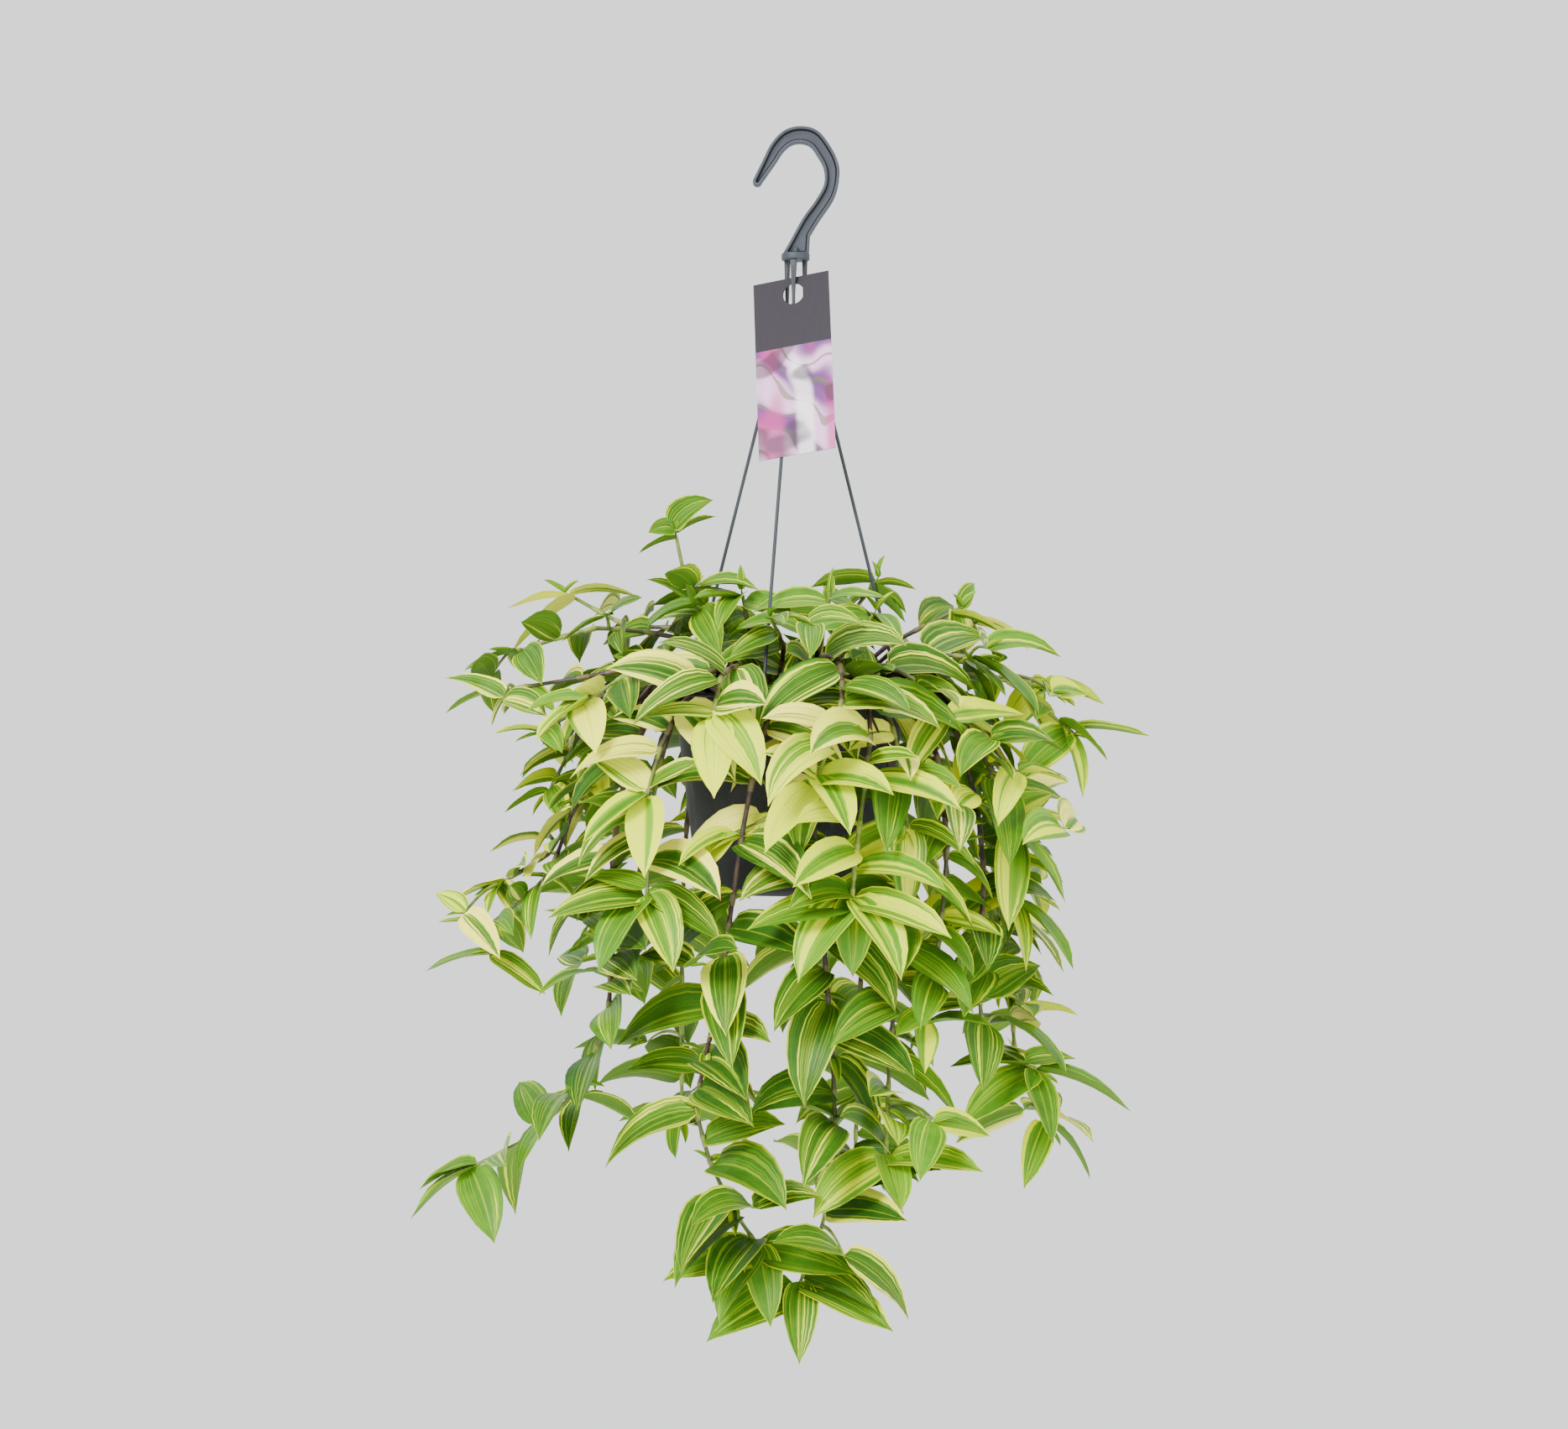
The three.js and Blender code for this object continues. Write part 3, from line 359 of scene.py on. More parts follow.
# %% The stems' table: leaf length, kind, spacing and the points that each passes
STEMS = [
    dict(leaf=58, kind="cream", spacing=31, through=[(-46, -72, 14), (-74, -102, -24), (-86, -112, -64)],
         fan=[(270, -45, 58), (205, -25, 52), (150, 40, 50), (330, 35, 40)]),
    dict(leaf=58, kind="cream", spacing=28, through=[(-32, -76, 16), (-42, -104, 8), (-46, -114, -16)],
         fan=[(272, -50, 56), (190, 10, 44), (312, -25, 62)]),
    dict(leaf=62, kind="lime", spacing=34, through=[(76, -36, 12), (116, -48, -30), (138, -50, -88)],
         fan=[(262, -55, 66), (330, -35, 60), (160, 40, 44), (40, 35, 44)]),
    dict(leaf=64, kind="lime", spacing=27, through=[
        (40, -76, 10), (48, -112, -24), (42, -124, -72), (36, -124, -128)],
         fan=[(200, 0, 68), (342, 0, 66), (220, -30, 64), (320, -30, 62), (272, -60, 50)]),
    dict(leaf=64, kind="cream", spacing=26, through=[
        (20, -76, 22), (32, -106, 12), (28, -124, -18), (14, -128, -56)],
         fan=[(228, -30, 60), (340, -5, 62), (275, -50, 60), (200, 25, 46), (312, -35, 60)]),
    dict(leaf=64, kind="cream", spacing=31, through=[(58, -62, 16), (84, -76, 2), (98, -80, -16)],
         fan=[(335, -5, 66), (345, -35, 56), (262, -40, 60), (230, -70, 60)]),
    dict(leaf=66, kind="green", spacing=38, through=[
        (-5, -86, 10), (-24, -112, -60), (-38, -102, -150), (-46, -88, -205), (-58, -78, -245),
        (-44, -70, -300), (-16, -60, -346)],
         fan=[(198, 0, 66), (338, 0, 66), (225, -30, 56), (290, -45, 54)]),
    dict(leaf=64, kind="green", spacing=36, through=[
        (14, -86, 8), (14, -108, -70), (20, -94, -170), (26, -76, -250), (24, -62, -310),
        (4, -48, -374)], fan=[(202, -12, 68), (336, -8, 68), (268, -45, 54), (20, 0, 46)]),
    dict(leaf=60, kind="green", through=[
        (-62, -56, 12), (-98, -78, -40), (-110, -78, -130), (-108, -70, -176), (-120, -58, -226),
        (-144, -46, -260), (-170, -40, -282), (-202, -36, -298)],
         fan=[(300, -35, 56), (200, -22, 52), (175, -5, 42)]),
    dict(leaf=64, kind="green", through=[
        (72, -44, 14), (106, -54, -30), (120, -52, -110), (116, -48, -190), (132, -42, -232),
        (158, -34, -238)],
         fan=[(208, -15, 66), (350, -5, 66), (290, -45, 54), (180, 10, 50), (30, 10, 40)]),
    dict(leaf=64, kind="lime", spacing=34, through=[
        (32, -82, 8), (62, -102, -50), (66, -98, -118), (62, -90, -165), (60, -78, -225),
        (56, -66, -292)], fan=[(350, -5, 70), (200, -15, 60), (300, -40, 50)]),
    dict(leaf=60, kind="green", spacing=32, through=[(-56, -66, 10), (-80, -96, -50), (-86, -104, -126)],
         fan=[(192, 5, 62), (226, -25, 60), (300, -30, 58), (346, -20, 56), (172, 20, 44)]),
    dict(leaf=58, kind="lime", through=[(84, 2, 14), (140, 6, 8), (182, 4, -26)],
         fan=[(215, -20, 56), (0, 5, 54), (300, -50, 52), (330, -15, 44)]),
    dict(leaf=54, kind="cream", through=[(-66, -45, 16), (-108, -64, 8), (-128, -74, -8)],
         fan=[(300, -35, 60), (230, -15, 50), (180, 10, 40)]),
    dict(leaf=52, kind="cream", through=[(-60, 25, 40), (-112, 32, 46), (-146, 36, 66)],
         fan=[(355, 15, 46), (185, 5, 44), (215, -25, 60)]),
    dict(leaf=34, kind="green", bare=0.6, through=[(-47, 12, 14), (-64, 14, 60), (-74, 16, 106)],
         fan=[(15, 40, 30), (195, -5, 28)]),
    dict(leaf=42, kind="lime", through=[(28, 30, 34), (48, 38, 58), (58, 42, 76)],
         fan=[(180, 12, 44), (10, 15, 30), (345, -10, 30), (215, -20, 40)]),
    dict(leaf=46, kind="cream", through=[(62, 12, 30), (100, 20, 40), (112, 24, 56)],
         fan=[(60, 55, 30), (270, -45, 42), (350, -5, 38)]),
    dict(leaf=64, kind="green", through=[(64, -20, 26), (100, -30, 34), (118, -34, 22)],
         fan=[(330, -20, 60), (285, -30, 50)]),
    dict(leaf=44, kind="lime", through=[(68, -56, 8), (94, -84, -60), (92, -84, -140), (82, -74, -206)],
         fan=[(330, 20, 48), (265, -50, 36), (200, -5, 40)]),
    dict(leaf=60, kind="lime", through=[(82, -16, 12), (128, -22, -40), (138, -22, -132)],
         fan=[(330, -25, 64), (290, -45, 56), (215, -10, 56)]),
    dict(leaf=60, kind="cream", spacing=27, through=[
        (5, -84, 16), (0, -98, -30), (-10, -102, -76), (-34, -108, -88)],
         fan=[(275, -50, 58), (200, -15, 48), (318, 0, 52)]),
    dict(leaf=58, kind="cream", spacing=28, through=[(48, -70, 12), (66, -96, -36), (70, -108, -84)],
         fan=[(190, -10, 54), (0, -10, 50), (265, -60, 56)]),
    dict(leaf=42, kind="green", through=[(-72, -18, 20), (-130, -22, 10), (-180, -22, 2)],
         fan=[(185, 0, 44), (205, -35, 30), (340, -10, 30)]),
    dict(leaf=48, kind="green", through=[(-66, 0, 34), (-120, -4, 42), (-176, -6, 26)]),
    dict(leaf=40, kind="lime", through=[(-76, -28, 12), (-124, -38, -8), (-158, -36, -28)]),
    dict(leaf=44, kind="cream", through=[
        (-86, -2, 8), (-128, -8, -60), (-160, -14, -112), (-186, -18, -122)],
         fan=[(330, -30, 36), (270, -40, 34), (190, -10, 34)]),
    dict(leaf=44, kind="lime", through=[(-80, -12, 12), (-124, -26, -60), (-160, -34, -130),
                                        (-190, -36, -150)]),
    dict(leaf=42, kind="cream", through=[(-84, 8, 10), (-130, 12, -20), (-156, 14, -66)]),
    dict(leaf=44, kind="lime", through=[(-4, -52, 28), (-7, -74, 48), (-12, -92, 46)]),
    dict(leaf=46, kind="lime", through=[(-22, -28, 26), (-30, -40, 64)],
         fan=[(262, -30, 46), (200, 0, 40), (330, 0, 40)]),
    dict(leaf=52, kind="lime", through=[(18, -36, 26), (26, -50, 62)]),
    dict(leaf=50, kind="lime", through=[(34, -42, 26), (54, -56, 50)]),
    dict(leaf=58, kind="cream", through=[(68, 42, 18), (126, 44, 20), (168, 42, 2)]),
    dict(leaf=56, kind="cream", through=[(82, 20, 12), (126, 26, -50), (140, 20, -150), (146, 10, -240),
                                         (164, 4, -276)], fan=[(240, -40, 50), (345, -30, 50)]),
    dict(leaf=60, kind="green", through=[(84, 8, 10), (122, 12, -50), (132, 14, -130), (136, 14, -190)]),
    dict(leaf=44, kind="green", through=[(-84, 16, 8), (-120, 20, -60), (-130, 20, -150)]),
    dict(leaf=56, kind="lime", through=[(30, 76, 12), (48, 108, -10), (58, 124, -52)]),
    dict(leaf=58, kind="cream", through=[(-16, 80, 12), (-30, 116, -30), (-38, 130, -104)]),
    dict(leaf=58, kind="lime", through=[(52, 66, 12), (92, 90, -50), (110, 92, -146)]),
    dict(leaf=58, kind="green", through=[(-60, 60, 14), (-94, 86, -60), (-104, 92, -186)]),
    dict(leaf=60, kind="green", through=[(6, 84, 10), (10, 126, -60), (10, 132, -214)]),
    dict(leaf=54, kind="cream", through=[(66, 54, 10), (116, 72, -20), (148, 74, -84)]),
    dict(leaf=52, kind="lime", through=[(-77, 35, 14), (-122, 54, 6), (-150, 64, -36)]),
    dict(leaf=60, kind="green", through=[(40, 70, 10), (50, 104, -90), (44, 98, -320)]),
    dict(leaf=60, kind="green", through=[(-51, 68, 10), (-70, 100, -100), (-72, 86, -284)]),
    dict(leaf=50, kind="lime", through=[(-40, 30, 26), (-60, 44, 60)]),
    dict(leaf=50, kind="cream", through=[(20, 46, 26), (24, 60, 60)]),
    dict(leaf=50, kind="green", through=[(-34, -16, 28), (-60, -32, 56)]),
]
print(len(STEMS), "stems")


# %% Seeded draws, the same in every language
class Draws:
    def __init__(self, seed):
        self.state = (seed * 48611 + 1009) % 2147483647
        for _ in range(5):
            self.next()

    def next(self):
        self.state = self.state * 16807 % 2147483647
        return self.state / 2147483647

    def between(self, low, high):
        return low + (high - low) * self.next()


def from_rim(x, y, z):
    return np.array([x, y, z], float) + RIM_CENTRE


# %% The joints of a stem, along a smooth curve through its points
def joints_along(points, spacing):
    """The first two points, and then points at even steps along the curve to its end."""
    steps = 40
    travelled, last, whole = 0.0, points[1], []
    for i in range(1, len(points) - 1):
        for s in range(1, steps + 1):
            place = smooth_point(points, i, s / steps)
            travelled += length_of(place - last)
            last = place
            whole.append((travelled, place))
    count = max(1, math.floor(travelled / spacing + 0.5))
    joints, wanted = [points[0], points[1]], 1
    for distance, place in whole:
        if wanted < count and distance >= travelled * wanted / count:
            joints.append(place)
            wanted += 1
    return joints + [points[-1]]


def stem_way(index, spec, attempt):
    """Root and joints of a stem on its given try."""
    draws = Draws(31 * index + 7 * attempt + 3)
    first = spec["through"][0]
    root_angle = degrees_of(first) + draws.between(-16, 16)
    root_radius = draws.between(0.3, 1) * min(math.hypot(first[0], first[1]) * 0.8, 54)
    root = from_rim(*(bearing(root_angle) * root_radius)[:2], -SOIL_BELOW_RIM - STEM["root_depth"])
    mouth = from_rim(*(bearing(root_angle) * (root_radius + 2))[:2], -SOIL_BELOW_RIM + 6)
    shift = min(attempt, 24) / 4
    through = []
    for x, y, z in spec["through"]:
        right, away = draws.between(-shift, shift), draws.between(-shift, shift)
        through.append(from_rim(x + right, y + away, z + draws.between(0, shift * 1.5)))
    spacing = spec.get("spacing", STEM["spacing"]) * draws.between(0.9, 1.1)
    return root, joints_along([mouth] + through, spacing)


# %% The leaves that a stem would like to carry, and the poses that each may take
def leaf_wishes(index, spec, joints):
    """A fan of leaves at the tip, and a leaf at each joint, to one side and the other in turn."""
    draws = Draws(977 * index + 11)
    between = draws.between
    last = len(joints) - 1
    fan = spec.get("fan")
    if not fan:
        heading = degrees_of(joints[last] - joints[last - 1])
        fan = [(heading + between(-30, 30), between(-20, 25), spec["leaf"] * 0.8),
               (heading + between(80, 130), between(-30, 20), spec["leaf"] * 0.92),
               (heading - between(80, 130), between(-35, 10), spec["leaf"])]
    wishes = []
    for i, (toward, pitch, length) in enumerate(fan):
        root = joints[last] + (joints[last - 1] - joints[last]) * (0.06 + 0.06 * i)
        wishes.append(dict(root=root, bearing=toward, pitch=pitch, bend=between(20, 50), length=length,
                           broad=between(0.42, 0.52), fold=between(8, 22), lean=between(0.5, 1.2),
                           outward=outward_at(root), joint=last))
    side = 1 if draws.next() < 0.5 else -1
    for j in range(last - 1, 0, -1):
        outward = outward_at(joints[j])
        heading = degrees_of(outward * 0.7 + unit(joints[j + 1] - joints[j - 1]) * (1, 1, 0))
        wish = dict(root=joints[j] + (joints[j + 1] - joints[j]) * 0.1,
                    bearing=heading + side * between(40, 92), pitch=between(-32, 20),
                    bend=between(28, 66), length=spec["leaf"] * between(0.94, 1.16),
                    broad=between(0.42, 0.52), fold=between(8, 24), lean=between(0.5, 1.4),
                    outward=outward, joint=j)
        bare = spec.get("bare")
        if not (bare and j < bare * last and j != 2):
            wishes.append(wish)
        side = -side
    return wishes


def leaf_pose(wish, attempt):
    """The wish as it is at first. Later tries turn it farther to either side, tilt and shrink it."""
    side = -1 if attempt % 2 == 0 else 1
    return dict(wish, bearing=wish["bearing"] + side * math.ceil(attempt / 2) * 17,
                pitch=wish["pitch"] + (attempt % 3) * 9, length=wish["length"] * (1 - 0.03 * attempt))


# %% The midrib of a leaf: one arc, with the blade's face leaning outward
def leaf_frame(pose, t):
    """Place, direction, face and left side of the blade at share t of its length."""
    pitch, bend = math.radians(pose["pitch"]), math.radians(pose["bend"])
    now = pitch - bend * t
    reach = pose["length"] / bend * (math.sin(pitch) - math.sin(now))
    rise = pose["length"] / bend * (math.cos(now) - math.cos(pitch))
    heading, up = bearing(pose["bearing"]), np.array([0.0, 0.0, 1.0])
    place = pose["root"] + heading * reach + up * rise
    along = heading * math.cos(now) + up * math.sin(now)
    face = up * math.cos(now) - heading * math.sin(now)
    light = pose["outward"] - along * (pose["outward"] @ along)
    face = unit(face + light * pose["lean"])
    return place, along, face, np.cross(face, along)


# %% Read from each node which tries were taken
def tree_of(places):
    """A tree that finds the nearest of these places."""
    tree = KDTree(len(places))
    for i, place in enumerate(places):
        tree.insert(place, i)
    tree.balance()
    return tree


def gap_to(tree, place):
    """How far a place lies from the nearest corner, in millimetres."""
    return tree.find(Vector(place * MM))[2] / MM


PLANTS = []
missing = 0
for index, spec in enumerate(STEMS):
    name = f"stem_{index + 1:02d}"
    tree = tree_of([vertex.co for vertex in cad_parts[name].data.vertices])
    for attempt in range(STEM["tries"]):
        root, joints = stem_way(index, spec, attempt)
        if (abs(gap_to(tree, root) - STEM["radius"]) < 0.02
                and abs(gap_to(tree, joints[0]) - STEM["radius"]) < 0.2):
            break
    else:
        raise SystemExit(f"{name}: no try of the rule fits its node")
    leaves = []
    for wish in leaf_wishes(index, spec, joints):
        for number in range(LEAF["tries"]):
            pose = leaf_pose(wish, number)
            if gap_to(tree, leaf_frame(pose, 1)[0]) < 0.05:
                leaves.append(pose)
                break
        else:
            missing += 1
    PLANTS.append(dict(name=name, spec=spec, line=[root, *joints], leaves=leaves, shoots=[]))
print(sum(len(p["leaves"]) for p in PLANTS), "leaves found,", missing, "left out by the rule")

# %% [markdown]
# ## The leaf blade
# A tradescantia leaf is a fleshy, pointed oval with parallel veins, folded a little along its
# midrib. A flat grid is the simplest start: its columns wrap round the blade, half of them on the
# upper face and half on the lower, and its rows run from the root to the tip. Each vertex is then
# moved to its place by a formula, and what meets at the edges is merged. There are about nine
# hundred leaves and buds, so each has few faces, with its rows closer together near both ends.

# %% One blade
ACROSS, ALONG = 4, 9


def blade_width(t):
    """Half width of the blade, 1 at its widest, with a drawn-out tip."""
    tip = min(max((t - 0.7) / 0.3, 0), 1)
    return math.sin(math.pi * min(max(t, 0), 1) ** 0.62) ** (0.72 + 0.55 * tip * tip)


def add_blade(mesh, pose, layers, style, draws):
    """Adds one leaf. style is (seed, share of cream, youth, brown tip)."""
    uv, growth = layers
    grid = bmesh.ops.create_grid(mesh, x_segments=2 * ACROSS, y_segments=ALONG, size=1.0)["verts"]
    faces = {face for vertex in grid for face in vertex.link_faces}
    for face in faces:
        face.smooth = True
        face.material_index = 1
        for loop in face.loops:
            loop[uv].uv = (loop.vert.co.x / 2 + 0.5, loop.vert.co.y / 2 + 0.5)
    wave, phase = draws.uniform(0.2, 0.9), draws.uniform(0, 6.28)
    twist, cup = draws.uniform(-0.35, 0.35), draws.uniform(0.2, 1.0)
    fold = math.radians(pose["fold"])
    rows = {}
    for vertex in grid:
        column = (vertex.co.x / 2 + 0.5) * 2 * ACROSS
        row = round((vertex.co.y / 2 + 0.5) * ALONG)
        t = row / ALONG - 0.07 * math.sin(2 * math.pi * row / ALONG)
        under = column > ACROSS + 0.01
        s = 1 - 2 * (column - ACROSS) / ACROSS if under else -1 + 2 * column / ACROSS
        if row not in rows:
            rows[row] = leaf_frame(pose, t)
        place, along, face, left = rows[row]
        half = pose["length"] * pose["broad"] / 2 * blade_width(t)
        turn = twist * t * t
        side = left * math.cos(turn) + face * math.sin(turn)
        above = face * math.cos(turn) - left * math.sin(turn)
        lift = half * (abs(s) * math.sin(fold) + cup * 0.12 * (abs(s) ** 2 - abs(s)))
        ripple = wave * s * s * math.sin(t * 9 + phase + (1.6 if s > 0 else 0)) * min(half / 8, 1)
        groove = -0.35 * math.exp(-(s / 0.14) ** 2) * min(half / 6, 1)
        depth = LEAF["thickness"] * (1 - s ** 4) * min(1, half / 3) if under else 0
        point = place + side * s * half * math.cos(fold) + above * (lift + ripple + groove - depth)
        vertex.co = Vector(point * MM)
        vertex[growth] = style
    bmesh.ops.remove_doubles(mesh, verts=grid, dist=1e-6)


# %% [markdown]
# ## Leaves between the solids' leaves
# The real plant has a leaf at every thumb's width of stem, more than plain solids can hold. More
# leaves could be scattered freely, but some would then grow through others. So each is tried on its
# stem as a few coarse sheets first, and stays only where those cross and touch nothing.

# %% A leaf's place as coarse sheets
ROWS = (0.03, 0.2, 0.4, 0.6, 0.8, 1.0)
BOX_LOW, BOX_HIGH = (np.array(p) / MM for p in cad_box)
# The sheets' heights over the blade, and what added leaves and shoots keep off, in millimetres.
CLEAR = dict(sheets=(-1.7, 0.0, 1.5), stem=3.6, shoot_tip=8.0, box=2.0, pot=4.0, foot=5.0, soil=4.0,
             wall=6.0)
# From the front the pot shows in this window, counted from the middle of its rim.
SHOWS_POT = dict(left=-70, right=-14, low=-118, high=-22)
# About how far a side shoot reaches from its middle, and each half of it from where it starts.
# A quick first test passes over what lies farther off.
SHOOT_REACH = dict(middle=24, start=40)


def line_at(line, i, s):
    """A place on segment i of a stem, part of the way toward a smooth curve through its joints."""
    straight = line[i] + (line[i + 1] - line[i]) * s
    return straight + (smooth_point(line, i, s) - straight) * (0.0 if i == 0 else 0.45)


def sheets_of(pose, heights):
    """Corners and a tree of the sheets that lie at these heights over the leaf's face."""
    corners, faces, fold = [], [], math.radians(pose["fold"])
    rows = [(*leaf_frame(pose, t), pose["length"] * pose["broad"] / 2 * blade_width(t)) for t in ROWS]
    for height in heights:
        first = len(corners)
        for place, along, face, left, half in rows:
            for s in (-1, 0, 1):
                up = face * (abs(s) * half * math.sin(fold) + height)
                corners.append(Vector(place + left * (s * half * math.cos(fold)) + up))
        for k in range(first, len(corners) - 3, 3):
            faces += [(k, k + 1, k + 4, k + 3), (k + 1, k + 2, k + 5, k + 4)]
    return corners, BVHTree.FromPolygons(corners, faces)


def rod_line(angle):
    """The sloping part of a rod, from its bend to the flange."""
    out = bearing(angle)
    bend = out * ROD["top_circle"] + (HOOK["plate_x"], 0, ROD["bend"])
    return bend, out * ROD["rim_circle"] + RIM_CENTRE


obstacles = []
for plant in PLANTS:
    line = plant["line"]
    for i in range(len(line) - 1):
        count = int(length_of(line[i + 1] - line[i]) / 3) + 1
        obstacles += [line_at(line, i, k / count) for k in range(count)]
for angle in ROD_ANGLES.values():
    bend, foot = rod_line(angle)
    obstacles += [bend + (foot - bend) * (k / 90) for k in range(91)]
crowd = tree_of([Vector(place) for place in obstacles])
print(len(obstacles), "places on stems and rods to keep off")

# %% What is settled, and what still fits
settled, shoots = [], []


def ball_of(pose):
    """The leaf's middle, and about how far from it the leaf reaches."""
    return Vector(leaf_frame(pose, 0.5)[0]), pose["length"] * 0.58


def settle(pose):
    settled.append((*ball_of(pose), sheets_of(pose, (0.0,))[1]))


def clear_of_pot(place, in_mouth=False):
    """In the box of the solids, off the pot, and not in the gap that shows the pot from the front."""
    x, y, z = place - RIM_CENTRE
    out = math.hypot(x, y)
    over_soil = z > CLEAR["soil"] - SOIL_BELOW_RIM and out < POT["mouth"] - CLEAR["wall"]
    at_pot = -POT["height"] - CLEAR["foot"] < z < CLEAR["pot"] and out < POT["flange"] + CLEAR["pot"]
    if at_pot and not (in_mouth and over_soil):
        return False
    if (y < 0 and SHOWS_POT["left"] < x < SHOWS_POT["right"]
            and SHOWS_POT["low"] < z < SHOWS_POT["high"]):
        return False
    low, high = BOX_LOW + CLEAR["box"], BOX_HIGH - CLEAR["box"]
    return bool(np.all(place > low) and np.all(place < high))


def fits(pose, in_mouth=False):
    """Whether a leaf stays off the stems, the rods, the pot and all that is settled."""
    corners, tree = sheets_of(pose, CLEAR["sheets"])
    for n, corner in enumerate(corners):
        on_stem = n // 3 % len(ROWS) > 0 and crowd.find(corner)[2] < CLEAR["stem"]
        if on_stem or not clear_of_pot(np.array(corner), in_mouth):
            return False
    middle, reach = ball_of(pose)
    if any((middle - other).length < reach + far and tree.overlap(sheet)
           for other, far, sheet in settled):
        return False
    return not any(tree.ray_cast(start, step, step.length)[0] for start, step in shoots
                   if 1 < (middle - start).length < reach + SHOOT_REACH["start"])


def some_pose(draws, root, toward, length, **more):
    return dict(root=root, bearing=toward, pitch=draws.uniform(-24, 38), bend=draws.uniform(20, 58),
                length=length, broad=draws.uniform(0.44, 0.54), fold=draws.uniform(8, 24),
                lean=draws.uniform(0.5, 1.4), outward=outward_at(root), joint=-1, **more)


for plant in PLANTS:
    for pose in plant["leaves"]:
        pose["at"] = (pose["joint"] + 1, 0.0)
        settle(pose)
given = len(settled)
print(given, "leaves are those of the solids")

# %% Leaves between the joints, and side shoots
TRIES = dict(leaf=14, shoot=6)
SHORTEST_LEAF = 46


def heading_of(line, i):
    """The bearing of segment i of a stem, turned a little outward."""
    return degrees_of(outward_at(line[i + 1]) * 0.7 + unit(line[i + 1] - line[i]) * (1, 1, 0))


def try_leaf(plant, draws, i, start, side, in_mouth=False):
    """A leaf to one side of its stem. In the pot's mouth it is smaller, turns inward and rises more."""
    line = plant["line"]
    span = length_of(line[i + 1] - line[i])
    turn, rise, size = (180, 38, 0.74) if in_mouth else (0, 0, 1)
    root, ahead = line_at(line, i, start + 4 / span), heading_of(line, i) + turn
    usual = max(plant["spec"]["leaf"], SHORTEST_LEAF)
    for attempt in range(TRIES["leaf"]):
        side = -side
        length = usual * draws.uniform(0.86, 1.1) * (1 - 0.025 * attempt) * size
        pose = some_pose(draws, root, ahead + side * draws.uniform(35, 100), length, at=(i, start))
        pose["pitch"] += rise
        if fits(pose, in_mouth):
            settle(pose)
            plant["leaves"].append(pose)
            return


def try_shoot(plant, draws, i, start):
    """A short side shoot with up to four leaves, kept when two of them fit."""
    line = plant["line"]
    root = line_at(line, i, start)
    for attempt in range(TRIES["shoot"]):
        toward = heading_of(line, i) + draws.uniform(-110, 110)
        reach, drop = draws.uniform(16, 38), draws.uniform(-22, 8)
        tip = root + bearing(toward) * reach + (0, 0, drop)
        middle = (root + tip) / 2 + (0, 0, draws.uniform(2, 6))
        steps = [(Vector(a), Vector(b - a)) for a, b in ((root, middle), (middle, tip))]
        crossed = any((Vector(middle) - other).length < far + SHOOT_REACH["middle"]
                      and any(sheet.ray_cast(a, s, s.length)[0] for a, s in steps)
                      for other, far, sheet in settled)
        if crossed or not clear_of_pot(tip) or crowd.find(Vector(tip))[2] < CLEAR["shoot_tip"]:
            continue
        held, kept = len(settled), []
        for turn in (draws.uniform(55, 100), -draws.uniform(55, 100), draws.uniform(-30, 30),
                     draws.uniform(150, 210)):
            length = max(plant["spec"]["leaf"], SHORTEST_LEAF) * draws.uniform(0.66, 0.96)
            base = tip + (middle - tip) * 0.1 * len(kept)
            pose = some_pose(draws, base, toward + turn, length, at=(-1, 0.0))
            if fits(pose):
                settle(pose)
                kept.append(pose)
        if len(kept) >= 2:
            plant["leaves"] += kept
            plant["shoots"].append((root, middle, tip))
            shoots.extend(steps)
            return
        del settled[held:]


for plant in PLANTS:
    plant["draws"] = random.Random(9000 + len(plant["line"]) + int(plant["name"][5:]))
for chance in ("leaf", "shoot"):
    for plant in PLANTS:
        line, draws = plant["line"], plant["draws"]
        for i in range(1, len(line) - 1) if not plant["spec"].get("bare") else ():
            span = length_of(line[i + 1] - line[i])
            if chance == "leaf":
                side = draws.choice((-1, 1))
                for start in (0.6,) if i == 1 else (0.5,) if span < 42 else (0.34, 0.68):
                    try_leaf(plant, draws, i, start, side)
            elif draws.random() < 0.8:
                try_shoot(plant, draws, i, 0.86)
outer = len(settled)
for start in (0.06, 0.2, 0.34, 0.48):
    for plant in PLANTS:
        if not plant["spec"].get("bare"):
            try_leaf(plant, plant["draws"], 1, start, plant["draws"].choice((-1, 1)), in_mouth=True)
print(outer - given, "more leaves,", sum(len(p["shoots"]) for p in PLANTS), "side shoots,",
      len(settled) - outer, "leaves over the mouth")

# %% [markdown]
# ## The stem
# A stem is green and slim where it is young, and brown and thicker toward the soil. At each node it
# is swollen, and the leaf's base wraps it in a short pale sheath. A swept tube does all this: its
# rings are set closer together at the nodes, and their radii change there.

# %% One stem, with its sheaths
SHEATH = dict(rings=(0, 1.2, 7.5, 8.6), wraps=(0.5, 8), thickness=0.36)


